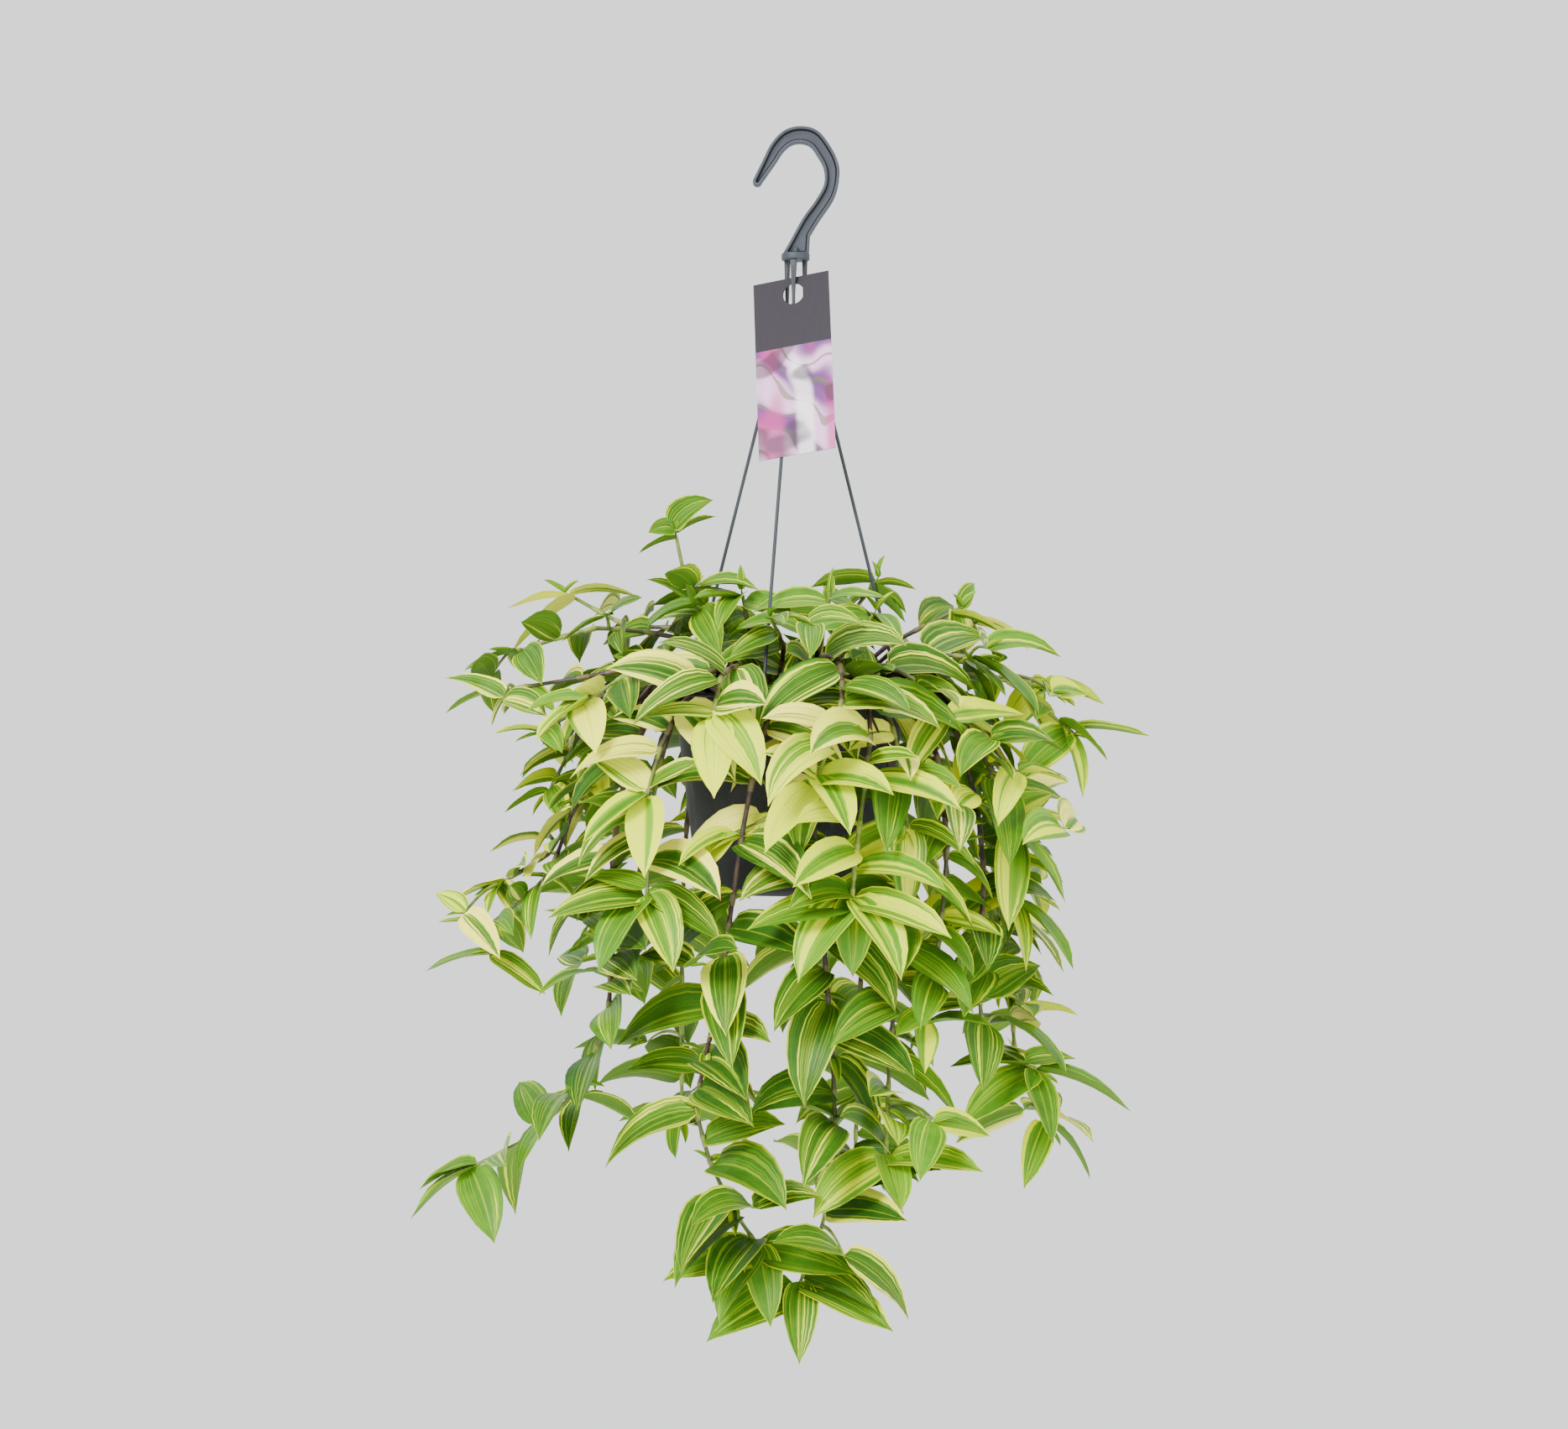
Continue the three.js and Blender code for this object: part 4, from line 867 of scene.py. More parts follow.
def stem_line(plant):
    """Points, radii, age and sheath share along a stem, from the soil to the tip."""
    line = plant["line"]
    last = len(line) - 1
    low, high = SHEATH["wraps"]
    rings = []
    for i in range(last):
        span = length_of(line[i + 1] - line[i])
        nodes = sorted({pose["at"][1] for pose in plant["leaves"] if pose["at"][0] == i})
        stops = [n + step / span for n in nodes for step in SHEATH["rings"] if n + step / span < 0.96]
        stops += [s for s in (0.0, 0.2, 0.4, 0.6, 0.8) if all(abs(s - other) > 0.06 for other in stops)]
        for s in sorted(stops):
            age = 1 - (i + s) / last
            base = STEM["radius"] * (0.54 + 0.3 * age)
            wrapped = any(n + low / span < s < n + high / span for n in nodes)
            nearest = min([abs(s - n) * span for n in nodes] + [(1 - s) * span])
            swollen = math.exp(-(nearest / 2.2) ** 2) * 0.22 if i >= 2 else 0
            radius = base * (1 + swollen) + (SHEATH["thickness"] if wrapped else 0)
            rings.append((Vector(line_at(line, i, s) * MM), MM * radius, age, float(wrapped)))
    rings.append((Vector(line[last] * MM), MM * 0.5, 0.0, 0.0))
    return zip(*rings)


def add_stem(mesh, plant, growth, seed):
    way, radii, ages, sheaths = stem_line(plant)

    def mark(vertex, i):
        vertex[growth] = (seed, sheaths[i], ages[i], 0.0)

    sweep(mesh, way, radii, 8, mark)


def add_shoot(mesh, points, growth, seed):
    """A side shoot: a slim green tube in a soft arch, from inside its stem."""
    root, middle, tip = points
    over = middle * 2 - (root + tip) / 2
    way = [Vector(arc_point(root, over, tip, t) * MM) for t in np.linspace(0, 1, 8)]
    radii = [MM * (1.35 - 0.55 * k / 7) for k in range(7)] + [0.4 * MM]

    def mark(vertex, i):
        vertex[growth] = (seed, 1.0 if i in (1, 2) else 0.0, 0.12, 0.0)

    sweep(mesh, way, radii, 6, mark)


# %% [markdown]
# ## Leaf colours
# The leaves are striped along their parallel veins: green, lime and cream in every mixture. The
# blade's own map gives the place across and along the leaf. Noise that is stretched along the leaf
# makes long streaks, and each leaf's seed, share of cream and youth are kept on its vertices.

# %% The blade's paint
def leaf_paint():
    paint = Paint("striped_leaf", Specular_IOR_Level=0.14)
    round_blade, along = paint.own_map("blade")
    seed, cream_share, youth, brown_tip = paint.growth()
    across = abs(round_blade * 4 - 2) - 1
    under = round_blade.over(0.5, 0.502)
    shifted = seed * 57.0
    wandering = paint.vector(across * 1.7 + shifted, along * 0.22 + shifted, shifted)
    streaks = paint.noise(wandering, 1.0, 1.0)
    narrow = paint.noise(paint.vector(across * 6.5 + shifted, along * 0.5, shifted), 1.0, 2.0, 0.6)
    veins = paint.noise(paint.vector(across * 26.0, along * 0.8 + shifted, shifted), 1.0, 1.0)
    lines = paint.noise(paint.vector(across * 10.0 + shifted, along * 0.3, shifted), 1.0, 1.0)
    wide = cream_share.over(0.12, 0.45)
    edge_bias = (abs(across) - 0.42) * ((seed * 7.3).fraction() * 0.85 - 0.22)
    bands = streaks * wide + narrow * (1 - wide)
    level = (bands * 1.3 - 0.17 + (narrow - 0.5) * 0.55 + edge_bias * (wide * 0.6 + 0.4)
             + (cream_share - 0.5) * 0.62)
    cream = level.over(0.47, 0.56)
    half_green = level.over(0.3, 0.47)

    deep = paint.mix(youth, colour("224814"), colour("4a8018"))
    middle = paint.mix(youth, colour("3f7018"), colour("76aa16"))
    yellow = youth.over(0.25, 0.75) + (1 - cream_share.over(0.18, 0.42)) * 0.85
    pale = paint.mix(yellow, colour("fcf662"), colour("dae80c"))
    pale = paint.mix(lines.over(0.5, 0.68) * 0.3, pale, paint.mix(0.5, pale, middle))
    mottled = paint.noise(paint.place(), 90.0, 3.0, 0.6)
    deep = paint.mix(mottled.over(0.3, 0.75) * 0.35, deep, middle)
    tint = paint.mix(half_green * 0.9, deep, middle)
    tint = paint.mix(lines.over(0.54, 0.66) * 0.5, tint, paint.mix(0.55, pale, middle))
    tint = paint.mix(cream, tint, pale)
    margin = abs(across).over(0.89, 0.96) * (seed * 13.7).fraction().over(0.3, 0.5)
    tint = paint.mix(margin * 0.65, tint, pale)
    tint = paint.mix(veins.over(0.52, 0.7) * 0.12, tint, colour("2a6a06"))
    midrib = (1 - abs(across).over(0.015, 0.06)) * 0.4
    tint = paint.mix(midrib, tint, colour("a4bc20"))
    tint = paint.mix(under * (1 - cream * 0.7) * 0.6, tint, colour("5c8222"))
    tip = (along + (mottled - 0.5) * 0.1).over(0.9, 0.985) * brown_tip
    tint = paint.mix(tip, tint, colour("8a5f34"))
    paint.feed(Base_Color=tint, Roughness=0.36 + veins * 0.12 + under * 0.2)
    ridges = veins * 0.6 + paint.noise(paint.place(), 500.0, 1.0) * 0.12
    paint.bump(ridges, 0.00015)
    return paint.material


def stem_paint():
    paint = Paint("stem_skin", Roughness=0.45)
    seed, sheath, age = paint.growth()[:3]
    place = paint.place()
    blotches = paint.noise(place, 160.0, 3.0, 0.6)
    old = (age + (blotches - 0.5) * 0.4 + (seed - 0.5) * 0.36).over(0.1, 0.4)
    bark = paint.mix(blotches.over(0.35, 0.65), colour("2a1c1a"), colour("4a342a"))
    young = paint.mix(blotches.over(0.35, 0.7), colour("55691c"), colour("7b8e2e"))
    tint = paint.mix(old, young, bark)
    tint = paint.mix(sheath * 0.7, tint, paint.mix(old, colour("96a844"), colour("6b5f38")))
    paint.feed(Base_Color=tint, Roughness=0.4 + blotches * 0.2)
    fibres = paint.noise(place, 1400.0, 2.0)
    paint.bump(fibres, 0.0002)
    return paint.material


LEAF_SKIN, STEM_SKIN = leaf_paint(), stem_paint()
print("leaf paint:", len(LEAF_SKIN.node_tree.nodes), "nodes")

# %% [markdown]
# ## The whole foliage
# Every stem becomes one piece with its leaves, which stands for its solid. Young leaves sit near
# the tip and are yellower. A bud of two rolled leaves closes each tip, and small shoots sit in some
# of the leaf bases, as they do on an old plant.

# %% Stems and leaves
CREAM_SHARE = dict(cream=(0.24, 0.82), lime=(0.08, 0.6), green=(0.0, 0.34))
YOUTH = dict(cream=(0.1, 0.8), lime=(0.4, 1.0), green=(0.05, 0.65))
PALER = dict(stem_01=0.1, stem_02=0.1, stem_15=0.4, stem_22=0.12)
# Higher against the rim and nearer to the axis than one of these pairs, a leaf has less cream and a
# darker green: partly its own colour, partly painted shade of the crowded crown. Others are paler
# at the front, above this height and to the left of this line.
GREENER_WITH_PAINTED_SHADE = ((-8, 125), (-14, 60))
PALE_FRONT = dict(low=-110, right=60)
# Two faces of a leaf meet at more than this angle at its margin, which stays a sharp edge.
LEAF_MARGIN = math.degrees(2.0)


def style_of(kind, draws, near_tip, root, paler=0.0):
    """Seed, share of cream, youth and brown tip. Greener and darker over the mouth, partly as painted
    shade of the crown; paler beside the pot.
    """
    youth = draws.uniform(*YOUTH[kind]) - paler
    brown = 1.0 if draws.random() < 0.08 else 0.0
    x, y, z = root - RIM_CENTRE
    share = draws.uniform(*CREAM_SHARE[kind]) + paler
    # Over the mouth: less cream and youth, a darker green that is partly painted shade of the crown.
    if any(z > low and math.hypot(x, y) < out for low, out in GREENER_WITH_PAINTED_SHADE):
        share, youth = share * 0.4, youth * 0.5
    elif z > PALE_FRONT["low"] and x < PALE_FRONT["right"] and y < 0:
        share += 0.14
    youth += 0.3 * near_tip
    return draws.random(), min(max(share, 0.0), 1.0), min(max(youth, 0.0), 1.0), brown


def small_leaf(root, toward, pitch, length, outward, draws):
    return dict(root=root, bearing=toward, pitch=pitch, bend=draws.uniform(10, 40), length=length,
                broad=draws.uniform(0.34, 0.42), fold=draws.uniform(25, 48),
                lean=draws.uniform(0.2, 0.6), outward=outward)


foliage_triangles = 0
for number, plant in enumerate(PLANTS):
    draws = random.Random(500 + number)
    spec, joints = plant["spec"], plant["line"][1:]
    mesh = bmesh.new()
    growth = mesh.verts.layers.float_color.new("growth")
    uv = mesh.loops.layers.uv.new("blade")
    add_stem(mesh, plant, growth, draws.random())
    paler = PALER.get(plant["name"], 0.0)
    for pose in plant["leaves"]:
        near_tip = 1.0 if pose["joint"] == len(joints) - 1 else 0.0
        style = style_of(spec["kind"], draws, near_tip, pose["root"], paler)
        add_blade(mesh, pose, (uv, growth), style, draws)
    for points in plant["shoots"]:
        add_shoot(mesh, points, growth, draws.random())
        bud = small_leaf(points[2], draws.uniform(0, 360), draws.uniform(0, 40), draws.uniform(12, 18),
                         outward_at(points[2]), draws)
        add_blade(mesh, bud, (uv, growth), (draws.random(), 0.3, 1.0, 0.0), draws)
    if spec.get("bare"):
        for place, toward, pitch, length, broad in ((joints[-1], 205, 8, 19, 0.8),
                                                    (joints[-1], 340, 52, 33, 0.8),
                                                    (joints[-2], 215, 35, 36, 0.3)):
            leaf = small_leaf(place, toward, pitch, length, np.array((0.0, -1.0, 0.0)), draws)
            leaf.update(broad=broad, lean=2.2)
            add_blade(mesh, leaf, (uv, growth), style_of("lime", draws, 0.0, place), draws)
    ahead, outward = unit(joints[-1] - joints[-2]), outward_at(joints[-1])
    rising = math.degrees(math.asin(ahead[2]))
    for turn, length in ((25, 17), (205, 13)):
        bud = small_leaf(joints[-1], degrees_of(ahead) + turn, rising + draws.uniform(5, 35),
                         length, outward, draws)
        add_blade(mesh, bud, (uv, growth), (draws.random(), 0.3, 1.0, 0.0), draws)
    for j in range(3, len(joints) - 1):
        if draws.random() < 0.6:
            first = draws.uniform(0, 360)
            for turn, length in ((0, draws.uniform(16, 26)), (150, draws.uniform(11, 18))):
                shoot = small_leaf(joints[j], first + turn, draws.uniform(-20, 50), length, outward,
                                   draws)
                add_blade(mesh, shoot, (uv, growth), style_of("lime", draws, 1.0, joints[j]), draws)
    mesh.normal_update()
    for edge in sharp_edges(mesh.edges, LEAF_MARGIN):
        edge.smooth = False
    foliage_triangles += sum(len(face.verts) - 2 for face in mesh.faces)
    finish_piece(f"{plant['name']}_foliage", mesh, [STEM_SKIN, LEAF_SKIN], [plant["name"]])
print(len(PLANTS), "pieces of foliage with", foliage_triangles, "triangles")

# %% [markdown]
# ## The hook
# The hook is moulded in plastic: a web with a raised rim all round. Its outline is drawn with two
# smooth lines and a half circle at the tip, then filled, inset for the rim and pushed in for the
# web, which keeps a finish of its own. The walls of that recess are painted near black: painted
# shade in the groove between rim and web. One half is made that way and mirrored, and the edges
# are rounded, because moulded plastic has no sharp ones.

# %% The hook's outline
HOOK_BACK = [(-30.4, -23.8), (-24.4, -11.7), (-18.7, -0.5), (-10.5, 7.8), (0, 10.5), (10.6, 7.8),
             (18.8, -2), (24.1, -13.2), (24.5, -23.8), (21.1, -35.8), (12.1, -49.3), (6.1, -59.1)]
HOOK_INNER = [(-6, -61.3), (1.5, -47.8), (9.1, -37.3), (14.8, -26.8), (14.8, -16.3), (10.6, -8),
              (6.1, -2), (0, 0), (-6, -1.2), (-11.2, -5.7), (-15.7, -12.5), (-24.7, -25.3)]


def smooth_line(points, divisions):
    """A smooth line through flat points."""
    points = [np.array(p, float) for p in points]
    return [smooth_point(points, i, s / divisions)
            for i in range(len(points) - 1) for s in range(divisions)] + [points[-1]]


outline = smooth_line(HOOK_BACK, 4)
outline += [np.array((5.3, HOOK["plate_top"] - 1)), np.array((-11.7, HOOK["plate_top"] - 1))]
outline += smooth_line(HOOK_INNER, 4)
inner, back = np.array(HOOK_INNER[-1]), np.array(HOOK_BACK[0], float)
middle, reach = (inner + back) / 2, length_of(inner - back) / 2
start = math.atan2(*(inner - middle)[::-1])
for i in range(1, 8):
    turn = start - math.pi * i / 8
    outline.append(middle + reach * np.array((math.cos(turn), math.sin(turn))))
print("hook outline:", len(outline), "points")

# %% The hook's body
half = HOOK["thickness"] / 2 * MM
mesh = bmesh.new()
front = mesh.faces.new([mesh.verts.new((x * MM, -half, z * MM)) for x, z in outline])
bmesh.ops.recalc_face_normals(mesh, faces=[front])
if front.normal.y > 0:
    front.normal_flip()
bmesh.ops.inset_region(mesh, faces=[front], thickness=HOOK["rib"] * MM, use_boundary=True,
                       use_even_offset=True)
walls = bmesh.ops.inset_region(mesh, faces=[front], thickness=0.8 * MM, depth=-HOOK["recess"] * MM,
                               use_boundary=True, use_even_offset=True)["faces"]
# The recess walls take the near-black groove paint: painted shade between rim and web.
for face in walls:
    face.material_index = 1
front.material_index = 2
border = [edge for edge in mesh.edges if edge.is_boundary]
grown = bmesh.ops.extrude_edge_only(mesh, edges=border)["geom"]
wall = [g for g in grown if isinstance(g, bmesh.types.BMVert)]
bmesh.ops.translate(mesh, verts=wall, vec=(0, half, 0))
bmesh.ops.mirror(mesh, geom=mesh.verts[:] + mesh.edges[:] + mesh.faces[:], axis="Y", merge_dist=1e-5)
bmesh.ops.recalc_face_normals(mesh, faces=mesh.faces[:])
bevel(mesh, sharp_edges(mesh.edges), 0.3)
middle = (HOOK["plate_top"] + HOOK["plate_bottom"]) / 2
plate = add_cone(mesh, HOOK["plate_radius"], HOOK["plate_radius"],
                 HOOK["plate_top"] - HOOK["plate_bottom"], 64, (HOOK["plate_x"], 0, middle))
rims = sharp_edges(unique(edge for vertex in plate for edge in vertex.link_edges))
bevel(mesh, rims, 0.5, segments=3)
boss = add_box(mesh, 2.6, HOOK["thickness"], 4)
bmesh.ops.translate(mesh, verts=boss, vec=Vector((HOOK["plate_x"], 0, HOOK["plate_top"] + 1.8)) * MM)
smooth_all(mesh)
print("hook:", len(mesh.faces), "faces")


# %% [markdown]
# ## Moulded plastic
# Hook, rods and pot are matt moulded plastic. Such a surface has a very fine grain, slow changes of
# gloss, and, on the pot, dust in patches. It is one paint with different colours and strengths.

# %% The plastic's paint
def plastic_paint(name, base, light, grain, roughness, dust=0.0):
    paint = Paint(name, Specular_IOR_Level=0.35)
    place = paint.place()
    slow = paint.noise(place, 28.0, 3.0, 0.55)
    fine = paint.noise(place, 900.0, 2.0, 0.6)
    scuffs = paint.noise(paint.node("ShaderNodeMapping", None, {"Vector": place, "Scale": (60, 60, 9)}),
                         1.0, 4.0, 0.7)
    tint = paint.mix(slow.over(0.3, 0.7) * 0.6, colour(base), colour(light))
    tint = paint.mix(scuffs.over(0.6, 0.72) * 0.18, tint, colour("a3a6a6"))
    if dust:
        tint = paint.mix(slow.over(0.5, 0.75) * fine * dust, tint, colour("9a8f80"))
    paint.feed(Base_Color=tint, Roughness=roughness + slow * 0.16 + scuffs.over(0.6, 0.72) * 0.12)
    paint.bump(fine * 0.7 + slow * 0.3, grain)
    return paint.material


HOOK_RIM = plastic_paint("hook_rim", "30353d", "3a4049", 0.00015, 0.46)
# Near-black paint for the recess walls: painted shade in the groove, not a colour of the plastic.
PAINTED_GROOVE_SHADE = plastic_paint("hook_groove_painted_shade", "0c0d10", "131519", 0.0001, 0.7)
HOOK_WEB = plastic_paint("hook_web", "2e333b", "373d46", 0.0002, 0.5)
finish_piece("hook_body", mesh, [HOOK_RIM, PAINTED_GROOVE_SHADE, HOOK_WEB], ["hook"])

# %% [markdown]
# ## The rods
# Each rod starts in a flat wedge under the hook's plate, hangs straight for a little, bends, and
# runs out to the pot's flange, where a barb holds it. The wedge is a cube whose lower end is drawn
# in, the rod is a swept tube, and the barb is a cone.

# %% Three rods
ROD_PLASTIC = plastic_paint("rod_plastic", "2b3034", "3a4045", 0.0001, 0.46)


def rod_way(angle):
    """Under the plate, the bend, above the flange and below it."""
    bend, rim = rod_line(angle)
    foot = rim[2] - POT["flange_thickness"] - GAP - ROD["barb_height"]
    heights = (HOOK["plate_bottom"] - 4, ROD["bend"], rim[2] + 4, foot)
    return [np.array((*p[:2], z)) for p, z in zip((bend, bend, rim, rim), heights)]


for name, angle in ROD_ANGLES.items():
    way = rod_way(angle)
    mesh = bmesh.new()
    line = [Vector(p * MM) for p in rounded(way, (2.0, 2.0), 5)]
    sweep(mesh, line, [ROD["radius"] * MM] * len(line), 16)
    top, low = HOOK["plate_bottom"] + 1.8, ROD["bend"] + 3
    head = add_box(mesh, ROD["head_width"], ROD["head_depth"], top - low)
    lower = [vertex for vertex in head if vertex.co.z < 0]
    bmesh.ops.scale(mesh, verts=lower, vec=(ROD["radius"] * 1.6 / ROD["head_width"], 0.9, 1))
    bevelled = bevel(mesh, unique(edge for vertex in head for edge in vertex.link_edges), 0.35)
    corners = unique(vertex for face in bevelled["faces"] for vertex in face.verts)
    bmesh.ops.rotate(mesh, verts=corners, cent=(0, 0, 0),
                     matrix=Matrix.Rotation(math.radians(angle - 90), 3, "Z"))
    bmesh.ops.translate(mesh, verts=corners, vec=Vector((way[0][0], way[0][1], (top + low) / 2)) * MM)
    add_cone(mesh, ROD["radius"] * 0.9, ROD["barb_radius"], ROD["barb_height"], 16,
             way[3] + (0, 0, ROD["barb_height"] / 2))
    smooth_all(mesh)
    finish_piece(f"{name}_wire", mesh, [ROD_PLASTIC], [name])
print("rods:", ", ".join(ROD_ANGLES))

# %% [markdown]
# ## The tag
# The tag is a thin laminated card with a round hole. A flat curve with a second curve inside it
# fills as a sheet with a hole, and its extrusion gives the thickness. Its own map carries the two
# printed fields: a plain dark one above, and soft mauve bands below.

# %% The card
out_line = bpy.data.curves.new("tag_card", "CURVE")
out_line.dimensions, out_line.fill_mode = "2D", "BOTH"
out_line.extrude, out_line.bevel_depth, out_line.bevel_resolution = 0.2 * MM, 0.1 * MM, 1
corner = out_line.splines.new("POLY")
inset = 0.1
left, right, low = inset, TAG["width"] - inset, inset - TAG["height"]
corner.points.add(3)
for point, (x, y) in zip(corner.points, ((left, -inset), (left, low), (right, low), (right, -inset))):
    point.co = (x * MM, y * MM, 0, 1)
corner.use_cyclic_u = True
hole = out_line.splines.new("POLY")
hole.points.add(47)
for i, point in enumerate(hole.points):
    turn = 2 * math.pi * i / 48
    radius = TAG["hole_radius"] + inset
    point.co = ((TAG["hole_across"] + radius * math.cos(turn)) * MM,
                (-TAG["hole_down"] + radius * math.sin(turn)) * MM, 0, 1)
hole.use_cyclic_u = True
drawn = bpy.data.objects.new("tag_outline", out_line)
card = bpy.data.meshes.new_from_object(drawn)
bpy.data.objects.remove(drawn)
mesh = bmesh.new()
mesh.from_mesh(card)
bmesh.ops.remove_doubles(mesh, verts=mesh.verts[:], dist=1e-7)
uv = mesh.loops.layers.uv.new("card")
for face in mesh.faces:
    for loop in face.loops:
        loop[uv].uv = (loop.vert.co.x / (TAG["width"] * MM), 1 + loop.vert.co.y / (TAG["height"] * MM))
bend, foot = rod_way(ROD_ANGLES["rod_front"])[1:3]
across = unit(np.array(TAG["across"]))
facing = unit(np.cross(foot - bend, across))
upward = np.cross(facing, across)
apart = ROD["radius"] + GAP + TAG["thickness"] / 2
place = bend + (0, 0, apart / facing[2]) - across * TAG["hole_across"] + upward * TAG["hole_down"]
rows = [(*row, place[i] * MM) for i, row in enumerate(zip(across, upward, facing))]
bmesh.ops.transform(mesh, matrix=Matrix(rows + [(0, 0, 0, 1)]), verts=mesh.verts[:])
print("tag:", len(mesh.faces), "faces")


# %% The card's print
def tag_paint():
    paint = Paint("tag_print", Specular_IOR_Level=0.25)
    right, up = paint.own_map("card")
    linen = (paint.noise(paint.vector(right * 220.0, up * 8.0, 0.0), 1.0, 1.0) * 0.5
             + paint.noise(paint.vector(right * 8.0, up * 480.0, 3.0), 1.0, 1.0) * 0.5)
    dark = paint.mix(linen.over(0.35, 0.65), colour("201c23"), colour("28232b"))
    flow = paint.noise(paint.vector(right * 1.5, up * 2.6, 4.0), 1.0, 1.0)
    sweep_way = right * 0.75 + up * 1.9 + (flow - 0.5) * 1.3
    bands = (sweep_way * 9.0).sine() * 0.5 + 0.5
    petals = paint.mix(bands.over(0.15, 0.9), colour("6b3876"), colour("dcaed4"))
    petals = paint.mix((sweep_way * 21.0).sine().over(0.8, 0.97) * 0.7, petals, colour("4c6622"))
    glow = paint.noise(paint.vector(right * 2.4, up * 3.4, 9.0), 1.0, 0.0)
    petals = paint.mix(glow.over(0.5, 0.68) * 0.75, petals, colour("b52f7e"))
    petals = paint.mix((1 - glow.over(0.3, 0.42)) * 0.7, petals, colour("f8f2f4"))
    shade = paint.noise(paint.vector(right * 1.8, up * 5.0, 17.0), 1.0, 1.0)
    petals = paint.mix(shade.over(0.5, 0.6) * 0.7, petals, colour("33262e"))
    upper = up.over(0.609, 0.611)
    tint = paint.mix(upper, petals, dark)
    paint.feed(Base_Color=tint, Roughness=0.5 + linen * 0.14)
    paint.bump(linen, 0.00003)
    return paint.material


finish_piece("tag_card", mesh, [tag_paint()], ["tag"])

# %% [markdown]
# ## The pot
# The pot is thin and tapered, with a flat flange round its mouth. Its section is drawn once, down
# the outside and up the inside, and spun round the axis. The drain holes are cut by a Boolean.

# %% The pot's section, spun
def pot_radius(depth):
    """The pot's outside at this depth under its rim."""
    return POT["mouth"] + (POT["foot"] - POT["mouth"]) * depth / POT["height"]


height, wall, skirt = POT["height"], POT["wall"], POT["skirt"]
floor_z = -height + wall + 0.6
section = [(0.0, -height), (POT["foot"] - POT["foot_round"], -height),
           (pot_radius(height - POT["foot_round"]), -height + POT["foot_round"]),
           (pot_radius(skirt + 1.5), -skirt - 1.5), (POT["mouth"] + 1, -skirt),
           (POT["mouth"] + 1, -POT["flange_thickness"]), (POT["flange"], -POT["flange_thickness"]),
           (POT["flange"], 0.0), (POT["mouth"] - wall, 0.0), (pot_radius(skirt) - wall, -skirt),
           (pot_radius(height - POT["foot_round"]) - wall, -height + POT["foot_round"] + 1),
           (POT["foot"] - POT["foot_round"] - 1.4, floor_z), (0.0, floor_z)]
rounding = (1.6, 1.6, 0.8, 0.8, 0.8, 0.8, 0.8, 0.6, 1.0, 1.0, 1.0)
mesh = spin(rounded(section, rounding, 3), 96)
bmesh.ops.translate(mesh, verts=mesh.verts[:], vec=Vector(RIM_CENTRE) * MM)
smooth_all(mesh)
print("pot:", len(mesh.faces), "faces")

# %% Drain holes, and the finished pot
POT_PLASTIC = plastic_paint("pot_plastic", "1b1d1f", "25282a", 0.0002, 0.46, dust=0.16)
pot = finish_piece("pot_shell", mesh, [POT_PLASTIC], ["pot"])
mesh = bmesh.new()
for i in range(POT["drain_holes"]):
    centre = bearing(360 * i / POT["drain_holes"]) * POT["drain_circle"] + RIM_CENTRE - (0, 0, height)
    add_cone(mesh, POT["drain_radius"], POT["drain_radius"], 12, 24, centre)
cutter = new_object("drills", mesh)
cut = pot.modifiers.new("drain", "BOOLEAN")
cut.object, cut.operation, cut.solver = cutter, "DIFFERENCE", "EXACT"
bpy.context.view_layer.update()
drilled = bpy.data.meshes.new_from_object(pot.evaluated_get(bpy.context.evaluated_depsgraph_get()))
pot.modifiers.clear()
pot.data = drilled
bpy.data.objects.remove(cutter)
print("pot with its holes:", len(pot.data.polygons), "faces")

# %% [markdown]
# ## The soil
# Potting soil is crumbly: peat, bark chips and a few white grains. Its surface is a disc of rings,
# pushed up and down by noise, and loose chips lie half sunk in it.

# %% Soil surface
clear = POT["wall"] + GAP + 0.1
top, low = -SOIL_BELOW_RIM, floor_z + GAP
edge_radius = pot_radius(-top) - clear
rings = 22


def mound(share):
    """The soil's height at this share of the way from the wall to the middle."""
    return top - 1 + 3 * math.sin(math.pi / 2 * share)


profile = [(0.0, low), (POT["foot"] - POT["foot_round"] - 2.6, low),
           (pot_radius(height - POT["foot_round"]) - clear, low + POT["foot_round"]),
           (edge_radius, top - 2)]
profile += [(edge_radius * (1 - i / rings), mound(i / rings)) for i in range(1, rings + 1)]
mesh = spin(profile, 90)
for vertex in mesh.verts:
    if vertex.co.z > (top - 1.5) * MM:
        reach = vertex.co.xy.length / (edge_radius * MM)
        rough = roughly.noise(vertex.co * 260) * 1.1 + roughly.noise(vertex.co * 700) * 0.5
        vertex.co.z += rough * MM * (1 - reach ** 8)
print("soil without chips:", len(mesh.faces), "faces")

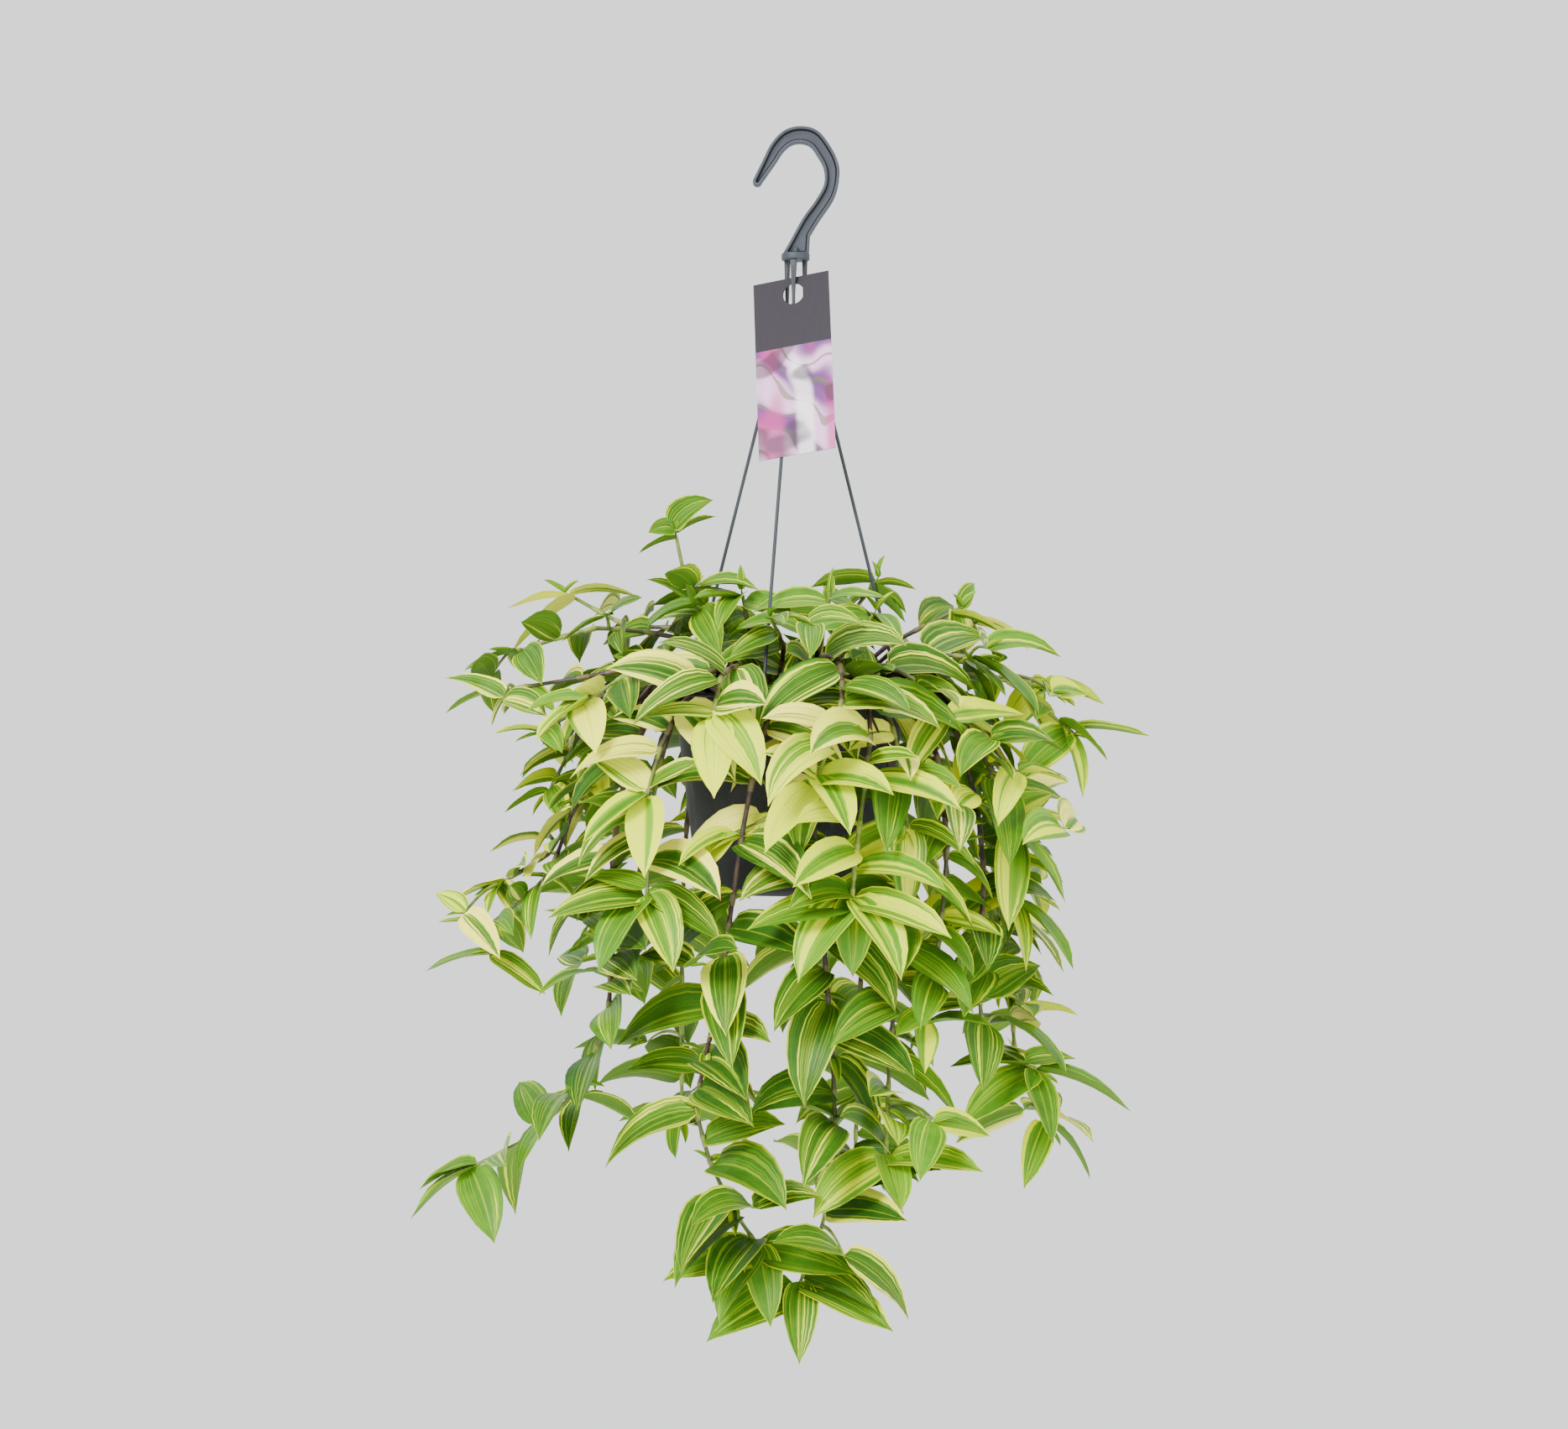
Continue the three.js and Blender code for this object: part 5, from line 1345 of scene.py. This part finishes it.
# %% Chips, half sunk in the soil
CHIPS = dict(count=260, off_wall=4, sizes=(0.8, 2.6), lengths=(0.8, 1.8), widths=(0.6, 1.1), flat=0.55)
draws = random.Random(77)
for _ in range(CHIPS["count"]):
    angle = draws.uniform(0, 2 * math.pi)
    reach = (edge_radius - CHIPS["off_wall"]) * math.sqrt(draws.random())
    size = draws.uniform(*CHIPS["sizes"])
    chip = bmesh.ops.create_icosphere(mesh, subdivisions=1, radius=size * MM)["verts"]
    stretch = (draws.uniform(*CHIPS["lengths"]), draws.uniform(*CHIPS["widths"]), CHIPS["flat"])
    bmesh.ops.scale(mesh, verts=chip, vec=stretch)
    turned = Matrix.Rotation(draws.uniform(0, 6.28), 3, "Z")
    tilted = Matrix.Rotation(draws.uniform(-0.5, 0.5), 3, "X")
    bmesh.ops.rotate(mesh, verts=chip, cent=(0, 0, 0), matrix=turned @ tilted)
    rise = mound(1 - reach / edge_radius) + 0.2
    bmesh.ops.translate(mesh, verts=chip,
                        vec=Vector((reach * math.cos(angle), reach * math.sin(angle), rise)) * MM)
bmesh.ops.translate(mesh, verts=mesh.verts[:], vec=Vector(RIM_CENTRE) * MM)
print("soil:", len(mesh.faces), "faces")


# %% The soil's paint
def soil_paint():
    paint = Paint("potting_soil", Specular_IOR_Level=0.25)
    place = paint.place()
    lumps = paint.noise(place, 210.0, 4.0, 0.7)
    grains = paint.node("ShaderNodeTexVoronoi", None, {"Vector": place, "Scale": 420.0})
    tint = paint.mix(lumps.over(0.3, 0.7), colour("20160f"), colour("4b3626"))
    tint = paint.mix(grains.over(0.5, 0.9) * 0.5, tint, colour("6d5540"))
    white = paint.noise(place, 330.0, 0.0).over(0.73, 0.75)
    tint = paint.mix(white * 0.8, tint, colour("b9b2a2"))
    paint.feed(Base_Color=tint, Roughness=0.85 + lumps * 0.12)
    paint.bump(lumps * 0.7 + grains * 0.4, 0.0008)
    return paint.material


finish_piece("soil_fill", mesh, [soil_paint()], ["soil"])

# %% [markdown]
# ## Stage and light
# The pot hangs free over a plain pale floor. A wall behind it would stand in the way of a view from
# the back, so the floor is a wide round disc and the pale room round it comes from the world's
# light. A large soft light stands to the upper left, a weaker one to the right.

# %% A pale floor
mesh = bmesh.new()
bmesh.ops.create_circle(mesh, cap_ends=True, radius=4.5, segments=96)
bmesh.ops.translate(mesh, verts=mesh.verts[:], vec=(0, 0, -2.0))
floor = new_object("floor", mesh)
paper = Paint("studio_paper", Roughness=0.9)
paper.feed(Base_Color=paper.mix(paper.noise(paper.place(), 3.0), colour("f7f7f6"), colour("f2f2f1")))
floor.data.materials.append(paper.material)
print("floor normal", tuple(round(v) for v in floor.data.polygons[0].normal))


# %% Soft lights
def soft_light(name, place, aim, size, power):
    lamp = bpy.data.lights.new(name, "AREA")
    lamp.shape, lamp.size, lamp.energy = "SQUARE", size, power
    light = bpy.data.objects.new(name, lamp)
    light.location = place
    light.rotation_euler = (Vector(aim) - Vector(place)).to_track_quat("-Z", "Y").to_euler()
    bpy.context.scene.collection.objects.link(light)


MIDDLE = (0, 0, -0.4)
soft_light("key", (-1.2, -2.1, 0.9), MIDDLE, 0.9, 112)
soft_light("fill", (1.5, -1.8, -0.6), MIDDLE, 1.6, 32)
soft_light("top", (0.2, 0.4, 1.6), MIDDLE, 1.2, 14)
world = bpy.data.worlds.new("pale_room")
bpy.context.scene.world = world
world.use_nodes = True
world.node_tree.nodes["Background"].inputs["Color"].default_value = (0.98, 0.99, 1.0, 1.0)
world.node_tree.nodes["Background"].inputs["Strength"].default_value = 1.5
print("lights: key, fill and top, and the pale room")
